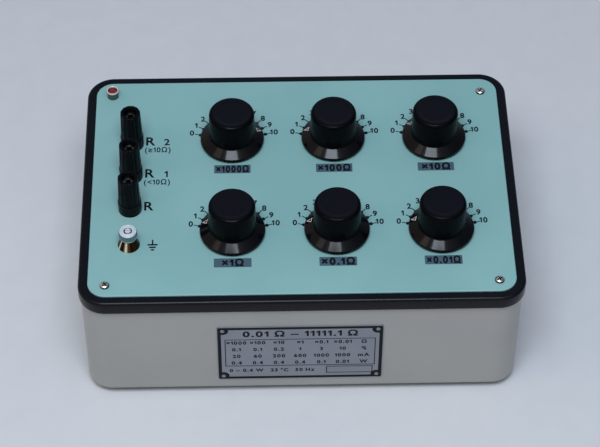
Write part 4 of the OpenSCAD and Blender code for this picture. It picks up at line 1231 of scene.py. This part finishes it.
# %% [markdown]
# ## Panel screws
# Four pan-head screws hold the panel, one of them under the wax. A head is a low dome that was pressed
# with a crossed recess. Here the dome is a quarter of an ellipse turned about the screw's axis, a touch
# wider than the plain CAD head. A Boolean would cut the cross with hard edges, and pressed ones are
# soft, so a formula pushes it in. It is turned a little on each screw, as the screwdriver left it.

# %% Press the screws
SCREW_SIDES = 120
DOME_ROWS = 28
HEAD_R = 3.0
HEAD_OUT = 0.2
HEAD_FOOT = 0.5
SHANK_R = 1.5
CROSS_HALF = 0.45
CROSS_REACH = 2.0
CROSS_RAMP = 0.25
CROSS_DEPTH = 1.1
SCREW_TURNS = [0.75, 0.4, 1.0, 0.6]

screws_low, screws_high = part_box("panel_screws")
screw_top = height_over_panel("panel_screws", 1) - CUP_WALL
screw_end = height_over_panel("panel_screws", 0)
screw_right = screws_high.x - HEAD_R * MM
screw_front = screws_low.y + HEAD_R * MM
screw_back = screws_high.y - HEAD_R * MM
SCREWS = [
    (-screw_right, screw_front, panel_top), (screw_right, screw_front, panel_top),
    (screw_right, screw_back, panel_top), (-screw_right, screw_back, panel_top + CUP_WALL * MM),
]


def screw_profile():
    """The shank from its end up, and a quarter ellipse (R cos t, foot + (top - foot) sin t) over it."""
    t = np.linspace(0.0, np.pi / 2.0, DOME_ROWS)
    head_r = HEAD_R + HEAD_OUT
    dome = np.column_stack([head_r * np.cos(t), HEAD_FOOT + (screw_top - HEAD_FOOT) * np.sin(t)])
    return np.concatenate([[(0.0, screw_end), (SHANK_R, screw_end), (SHANK_R, 0.0), (head_r, 0.0)], dome])


def within(distance, limit):
    """1 inside a limit and 0 outside it, with a short ramp about the limit."""
    return np.clip((limit - distance) / CROSS_RAMP + 0.5, 0.0, 1.0)


def crossed(points, turn):
    """Lowers the dome by depth max(b(u, v), b(v, u)), where b is 1 in a bar and fades out at its edges."""
    x, y, z = np.moveaxis(points / MM, -1, 0)
    u = np.abs(x * math.cos(turn) + y * math.sin(turn))
    v = np.abs(y * math.cos(turn) - x * math.sin(turn))
    first_bar = within(u, CROSS_HALF) * within(v, CROSS_REACH)
    second_bar = within(v, CROSS_HALF) * within(u, CROSS_REACH)
    drop = np.where(z > HEAD_FOOT, CROSS_DEPTH * np.maximum(first_bar, second_bar), 0.0)
    return np.stack([x, y, z - drop], axis=-1) * MM


plain_screw = turned(screw_profile(), SCREW_SIDES)
screw_points = np.stack([crossed(plain_screw, turn) + at for turn, at in zip(SCREW_TURNS, SCREWS)])
screw_faces = grid_faces(*plain_screw.shape[:2], False)
first_points = np.arange(len(SCREWS))[:, None, None] * len(plain_screw.reshape(-1, 3))
screw_mesh = welded("screws", screw_points, (screw_faces + first_points).reshape(-1, 4))
screws = add_piece("crossed_screws", screw_mesh, screw_nickel, "root")
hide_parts("panel_screws")
print(len(SCREWS), "screw heads stand", round(screw_top, 1), "mm over the panel")

# %% [markdown]
# ## Printing
# The dials' numbers, the grey plates with the multipliers, the marks beside the terminals and the
# lines of the nameplate are silk-screen ink. An image could show them, but ink has an edge that stays
# sharp at any size when it is a closed slab a few hundredths of a millimetre thick.

# %% Slabs of ink
INK = 0.03


def halves(quads):
    """Two triangles for each four-sided face."""
    return np.concatenate([quads[:, [0, 1, 2]], quads[:, [0, 2, 3]]])


def stacked(outlines, heights, ring):
    """Outlines of equal length, each at its own height, joined from one to the next by triangles."""
    rows = [np.column_stack([o, np.full(len(o), h)]) for o, h in zip(outlines, heights)]
    return np.concatenate(rows), halves(grid_faces(len(rows), len(rows[0]), ring))


def slab(outline, hub=None):
    """A closed slab from height 0 to 1: the outline, and a hub inside that sees all of it."""
    rim = np.asarray(outline, float)
    pole = np.zeros_like(rim) + (rim.mean(axis=0) if hub is None else hub)
    return stacked([pole, rim, rim, pole], [0, 0, 1, 1], False)


def band(outer, inner):
    """A closed slab from height 0 to 1 between two outlines with as many points as each other."""
    return stacked([outer, outer, inner, inner], [0, 1, 1, 0], True)


def joined(parts):
    """Several (points, triangles) as one."""
    counts = np.cumsum([0] + [len(points) for points, _ in parts])
    triangles = [faces + start for (_, faces), start in zip(parts, counts)]
    return np.concatenate([points for points, _ in parts]), np.concatenate(triangles)


def moved(part, x, y, lift=0):
    """A part shifted in its own plane in mm, and lifted by a number of ink films."""
    return part[0] + [x, y, lift], part[1]


def print_on(name, parts, finish, at, up=(0.0, 1.0, 0.0)):
    """Lays parts in mm on a plane through a point, with x along X, y along up and the ink outwards."""
    points, triangles = joined(parts)
    right = np.array([1.0, 0.0, 0.0])
    axes = np.stack([right, np.asarray(up), np.cross(right, up)])
    laid = np.asarray(at) + (points * [1.0, 1.0, INK] * MM) @ axes
    return add_piece(name, welded(name, laid, triangles), finish, "root")


print("a slab with four corners is", len(slab([(0, 0), (1, 0), (1, 1), (0, 1)])[1]), "triangles")

# %% [markdown]
# ## Lettering
# Letters come from Blender's own lettering, except the figure one, which gets its flag here. A whole
# word could be one text, but single letters can be spaced as on the panel. Each is made once for a
# stroke, kept, and set side by side with the others in a word.

# %% Letters and words
LETTER_SPACE = 0.17
WORD_SPACE = 0.45
CAPITAL = 0.682
CURVE_STEPS = 4
HALF_SLAB = 0.5
STEM = 0.13
FLAG = (0.2, 0.22, 0.13)
lettering = {}


def figure_one(stroke):
    """A figure one: an upright stem with a flag that falls away to the left, all thicker by the stroke."""
    reach, fall, depth = FLAG
    right = reach + STEM + 2.0 * stroke
    deep = depth + 2.0 * stroke
    flag = [(right, 1.0), (reach, 1.0), (0.0, 1.0 - fall), (0.0, 1.0 - fall - deep)]
    stem = [(reach, 1.0 - deep), (reach, 0.0), (right, 0.0)]
    return slab(flag + stem, ((reach + right) / 2.0, 1.0 - deep))


def letter(sign, stroke):
    """One letter as a closed slab: x from 0, the foot of the line at y = 0, and capitals 1 high."""
    if sign == "1":
        return figure_one(stroke)
    curve = bpy.data.curves.new("letter", "FONT")
    curve.body = sign
    curve.extrude = HALF_SLAB
    curve.offset = stroke * CAPITAL
    curve.resolution_u = CURVE_STEPS
    holder = bpy.data.objects.new("letter", curve)
    bpy.context.scene.collection.objects.link(holder)
    shape = holder.evaluated_get(bpy.context.evaluated_depsgraph_get())
    mesh = bpy.data.meshes.new_from_object(shape)
    mesh.calc_loop_triangles()
    points = np.empty(3 * len(mesh.vertices))
    mesh.vertices.foreach_get("co", points)
    triangles = np.empty(3 * len(mesh.loop_triangles), dtype=np.int32)
    mesh.loop_triangles.foreach_get("vertices", triangles)
    bpy.data.objects.remove(holder)
    points = points.reshape(-1, 3)
    flat = points[:, :2] / CAPITAL - [points[:, 0].min() / CAPITAL, 0.0]
    return np.column_stack([flat, points[:, 2] + HALF_SLAB]), triangles.reshape(-1, 3)


def word(text, height, stroke=0.0, squeeze=1.0):
    """Letters side by side in mm, with the middle of the word at x = 0 and its foot at y = 0."""
    parts = []
    x = 0.0
    for sign in text:
        if sign == " ":
            x += WORD_SPACE
            continue
        if (sign, stroke) not in lettering:
            lettering[sign, stroke] = letter(sign, stroke)
        points, triangles = lettering[sign, stroke]
        parts.append((points + [x, 0.0, 0.0], triangles))
        x += points[:, 0].max() + LETTER_SPACE
    points, triangles = joined(parts)
    points = points - [(x - LETTER_SPACE) / 2.0, 0.0, 0.0]
    return points * [height * squeeze, height, 1.0], triangles


print("a figure one is", len(figure_one(0.0)[1]), "triangles")

# %% [markdown]
# ## Dial scales
# Every dial has eleven places from 0 to 10, fifteen degrees apart. Each has a dot beside the skirt, a
# thin line out from it and an upright number. Below the dial a grey plate with its multiplier is
# printed, with darker figures on top. All six scales are the same, so one is worked out and printed
# round each dial's axis.

# %% Print the scales
DOT_R = 1.4
DOT_AT = 23.3
TICK = (24.2, 27.4)
TICK_WIDTH = 0.7
SCALE_RIGHT = 0.5
NUMBER_AT = 29.6
NUMBER_HEIGHT = 4.4
NUMBER_STROKE = 0.05
NUMBER_UP = 0.5
NUMBER_SQUEEZE = 0.92
PLATE = (25.0, 7.7)
PLATE_FRONT = 26.4
PLATE_ROOM = 22.6
PLATE_FIGURES = 5.6
PLATE_STROKE = 0.075
PLATE_SQUEEZE = 0.95
PLATE_CORNER = 0.5
PLATE_ARC = 4
DOT_SIDES = 24
CORNER_SIGNS = np.array([(-1, -1), (1, -1), (1, 1), (-1, 1)])
MULTIPLIERS = ["×1000Ω", "×100Ω", "×10Ω", "×1Ω", "×0.1Ω", "×0.01Ω"]


def circle(x, y, r, sides=DOT_SIDES):
    """Points of a circle about (x, y)."""
    angle = full_turn(sides)
    return np.column_stack([x + r * np.cos(angle), y + r * np.sin(angle)])


def box_outline(x, y, width, height, corner=0.0):
    """A rectangle about (x, y) with round corners."""
    corners = [x, y] + CORNER_SIGNS * [width / 2.0, height / 2.0]
    return rounded(corners, [corner] * len(corners), PLATE_ARC, True)


def spun(part, degrees):
    """A part turned about the middle of its plane."""
    c, s = math.cos(math.radians(degrees)), math.sin(math.radians(degrees))
    return part[0] @ np.array([[c, s, 0.0], [-s, c, 0.0], [0.0, 0.0, 1.0]]), part[1]


def dial_scale():
    """Dots, lines and numbers of one dial about its middle."""
    parts = []
    dot = slab(circle(DOT_AT, 0.0, DOT_R))
    tick = slab(box_outline(sum(TICK) / 2.0, 0.0, TICK[1] - TICK[0], TICK_WIDTH))
    mark = joined([dot, tick])
    for step in range(STEPS + 1):
        degrees = ZERO_ANGLE - step * STEP_ANGLE
        parts.append(moved(spun(mark, degrees), SCALE_RIGHT, 0.0))
        x = NUMBER_AT * math.cos(math.radians(degrees)) + SCALE_RIGHT
        y = NUMBER_AT * math.sin(math.radians(degrees)) + NUMBER_UP - NUMBER_HEIGHT / 2.0
        parts.append(moved(word(str(step), NUMBER_HEIGHT, NUMBER_STROKE, NUMBER_SQUEEZE), x, y))
    return parts


def multiplier_figures(text):
    """A multiplier in the middle of its plate, narrowed where it would be longer than the plate's room."""
    points, triangles = word(text, PLATE_FIGURES, PLATE_STROKE)
    squeeze = min(PLATE_SQUEEZE, PLATE_ROOM / np.ptp(points[:, 0]))
    return moved((points * [squeeze, 1.0, 1.0], triangles), 0.0, -PLATE_FRONT - PLATE_FIGURES / 2.0, 1)


scale = dial_scale()
plate = slab(box_outline(0.0, -PLATE_FRONT, *PLATE, PLATE_CORNER))
for dial, multiplier in zip(DIALS, MULTIPLIERS):
    print_on(f"scale_{dial}", scale, print_black, dial_at[dial])
    print_on(f"multiplier_plate_{dial}", [plate], print_grey, dial_at[dial])
    print_on(f"multiplier_{dial}", [multiplier_figures(multiplier)], print_black, dial_at[dial])
print("printed", len(DIALS), "scales of", STEPS + 1, "places")

# %% [markdown]
# ## Pointers
# A small outlined triangle on each skirt points at the number. A flat one would cut into the cone, so
# each of its points is lifted to the cone's height at its own distance from the axis. The triangle
# rides with the dial.

# %% Print the pointers
POINTER_TIP = 21.2
POINTER_BASE = 17.4
POINTER_HALF = 2.0
POINTER_LINE = 0.5
EDGE_POINTS = 8


def triangle(tip, base, half):
    """A triangle's edge as points, the tip out along x."""
    corner = np.array([(tip, 0.0), (base, half), (base, -half)])
    t = np.linspace(0.0, 1.0, EDGE_POINTS, endpoint=False)[None, :, None]
    edges = corner[:, None] * (1.0 - t) + np.roll(corner, -1, axis=0)[:, None] * t
    return edges.reshape(-1, 2)


def cone_height(r):
    """Height of the skirt's cone over the panel at a distance from the axis."""
    return SKIRT_RIM + (SKIRT_R - r) * (CONE_TOP - SKIRT_RIM) / (SKIRT_R - GRIP_LOW_R)


edge_tilt = math.atan2(POINTER_HALF, POINTER_TIP - POINTER_BASE)
inner_tip = POINTER_TIP - POINTER_LINE / math.sin(edge_tilt)
inner_base = POINTER_BASE + POINTER_LINE
inner_half = (inner_tip - inner_base) * math.tan(edge_tilt)
inner_triangle = triangle(inner_tip, inner_base, inner_half)
flat, pointer_faces = band(triangle(POINTER_TIP, POINTER_BASE, POINTER_HALF), inner_triangle)
on_cone = np.column_stack([flat[:, :2], cone_height(np.hypot(flat[:, 0], flat[:, 1])) + INK * flat[:, 2]])
for dial in DIALS:
    points, _ = spun((on_cone, None), pointer_angle[dial])
    pointer_mesh = welded("pointer", points * MM + dial_at[dial], pointer_faces)
    add_piece(f"pointer_{dial}", pointer_mesh, print_white, f"dial_{dial}")
print("a pointer has", len(pointer_faces), "faces")

# %% [markdown]
# ## Marks beside the terminals
# The letter R stands beside each post, and two posts have the number of the pair and its range too.
# The earth sign is a stem over three bars that grow shorter. All are placed from the terminals' own
# axes, so that each mark stays beside its terminal if the frame changes.

# %% Print the terminal marks
MARK_OUT = 12.6
MARK_FOOT = -1.4
MARK_HEIGHT = 7.4
MARK_STROKE = 0.034
PAIR_OUT = 23.8
PAIR_HEIGHT = 5.6
RANGE_OUT = 17.6
RANGE_FOOT = -8.0
RANGE_HEIGHT = 4.4
RANGE_STROKE = 0.03
RANGE_SQUEEZE = 0.88
PAIRS = {"r2": ("2", "(≥10Ω)"), "r1": ("1", "(<10Ω)")}
EARTH_OUT = 15.8
EARTH_UP = -0.35
EARTH_STEM = (1.0, 4.4)
EARTH_BARS = [(6.7, 0.0), (4.5, -2.2), (2.2, -4.4)]
BAR_WIDTH = 1.3

for post in POSTS:
    marks = [moved(word("R", MARK_HEIGHT, MARK_STROKE), MARK_OUT, MARK_FOOT)]
    if post in PAIRS:
        pair, reach = PAIRS[post]
        marks.append(moved(word(pair, PAIR_HEIGHT, MARK_STROKE), PAIR_OUT, MARK_FOOT))
        marks.append(moved(word(reach, RANGE_HEIGHT, RANGE_STROKE, RANGE_SQUEEZE), RANGE_OUT, RANGE_FOOT))
    print_on(f"mark_{post}", marks, print_black, post_at[post])
bars = [slab(box_outline(EARTH_OUT, EARTH_UP + y, width, BAR_WIDTH)) for width, y in EARTH_BARS]
stem = slab(box_outline(EARTH_OUT, EARTH_UP + EARTH_STEM[1] / 2.0, *EARTH_STEM))
print_on("mark_earth", bars + [stem], print_black, earth_at)
print("marked", len(POSTS), "posts and the earth terminal")

# %% [markdown]
# ## The nameplate
# A black border with round corner pads frames the plate, and the rivets sit in the pads. Bars and
# discs would lie in one another where they meet, so it is one band of ink between two outlines: the
# plate's edge with round corners, and an inner line whose corners bulge in arcs about the rivets.

# %% Print the nameplate's border
BORDER = 2.6
BORDER_MARGIN = 0.3
BORDER_CORNER = 1.2
PAD_R = 4.0
RIVET_IN = 3.6
PAD_STEPS = 16
UPRIGHT = (0.0, 0.0, 1.0)

plate_low, plate_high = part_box("nameplate")
plate_middle = [(plate_low.x + plate_high.x) / 2.0, plate_low.y, (plate_low.z + plate_high.z) / 2.0]
plate_w = 2.0 * half_width("nameplate")
plate_h = (plate_high.z - plate_low.z) / MM


def padded_border():
    """The plate's edge, and inside it a border whose corners bulge in arcs about the rivets."""
    half = np.array([plate_w, plate_h]) / 2.0
    edge = rounded(CORNER_SIGNS * (half - BORDER_MARGIN), [BORDER_CORNER] * 4, PAD_STEPS, True)
    over = math.asin((RIVET_IN - BORDER) / PAD_R)
    sweep = np.linspace(np.pi / 2.0 + over, -over, PAD_STEPS + 1)
    arc = PAD_R * np.column_stack([np.cos(sweep), np.sin(sweep)])
    turn = np.arange(4)[:, None] * np.pi / 2.0
    c, s = np.cos(turn), np.sin(turn)
    corner = (CORNER_SIGNS * (half - RIVET_IN))[:, None]
    pads = np.stack([c * arc[:, 0] - s * arc[:, 1], s * arc[:, 0] + c * arc[:, 1]], axis=-1)
    return edge, (corner + pads).reshape(-1, 2)


print_on("plate_border", [band(*padded_border())], print_black, plate_middle, UPRIGHT)
print("the plate is", round(plate_w), "by", round(plate_h), "mm")

# %% [markdown]
# ## The nameplate's table
# The plate carries the range, the six multipliers, and a table of tolerance, current and power in
# round numbers, with a note and an empty box below. Every word could be placed by hand, but here they
# are listed as a table and spread evenly over the plate.

# %% Print the nameplate's table
FRAME_IN = 2.4
WORDS_IN = 3.0
TITLE_HEIGHT = 5.6
TITLE_UP = 0.05
TITLE_STROKE = 0.05
TITLE_SQUEEZE = 1.14
ROW_HEIGHT = 3.2
ROW_STROKE = 0.06
NOTE_HEIGHT = 3.1
NOTE_AT = (-19.0, -20.2)
FRAME_LINE = 0.6
TABLE_TOP = 0.77
TABLE_LOW = 0.25
TITLE = "0.01 Ω – 11111.1 Ω"
NOTE = "0 – 0.4 W   23 °C   50 Hz"
TABLE = [
    ["×1000", "×100", "×10", "×1", "×0.1", "×0.01", "Ω"],
    ["0.1", "0.1", "0.2", "1", "3", "10", "%"],
    ["20", "60", "200", "600", "1000", "1000", "mA"],
    ["0.4", "0.4", "0.4", "0.4", "0.1", "0.01", "W"],
]
EMPTY_BOX = (33.4, -18.9, 31.5, 7.4)


def over_middle(share):
    """How far a share of the plate's height lies over its middle, in mm."""
    return (share - 0.5) * plate_h


def table_words():
    """The table's words, column by column and row by row, inside its frame."""
    columns = len(TABLE[0])
    inside = plate_w - 2.0 * (BORDER + WORDS_IN)
    x = (np.arange(columns) + 0.5) / columns * inside - inside / 2.0
    rows = np.linspace(TABLE_TOP, TABLE_LOW, len(TABLE) + 1)
    y = over_middle((rows[:-1] + rows[1:]) / 2.0) - ROW_HEIGHT / 2.0
    cells = [(text, x[i], y[j]) for j, row in enumerate(TABLE) for i, text in enumerate(row)]
    return [moved(word(text, ROW_HEIGHT, ROW_STROKE), at_x, at_y) for text, at_x, at_y in cells]


def framed(x, y, width, height):
    """A thin line round a rectangle."""
    inner = box_outline(x, y, width - 2.0 * FRAME_LINE, height - 2.0 * FRAME_LINE)
    return band(box_outline(x, y, width, height), inner)


table_y = over_middle((TABLE_TOP + TABLE_LOW) / 2.0)
table_w = plate_w - 2.0 * (BORDER + FRAME_IN)
table_frame = framed(0.0, table_y, table_w, (TABLE_TOP - TABLE_LOW) * plate_h)
title_foot = over_middle(TABLE_TOP + TITLE_UP)
title = moved(word(TITLE, TITLE_HEIGHT, TITLE_STROKE, TITLE_SQUEEZE), 0.0, title_foot)
note = moved(word(NOTE, NOTE_HEIGHT, ROW_STROKE), *NOTE_AT)
plate_lines = [table_frame, framed(*EMPTY_BOX), title, note] + table_words()
print_on("plate_lines", plate_lines, print_black, plate_middle, UPRIGHT)
print("the table has", len(TABLE), "rows of", len(TABLE[0]))
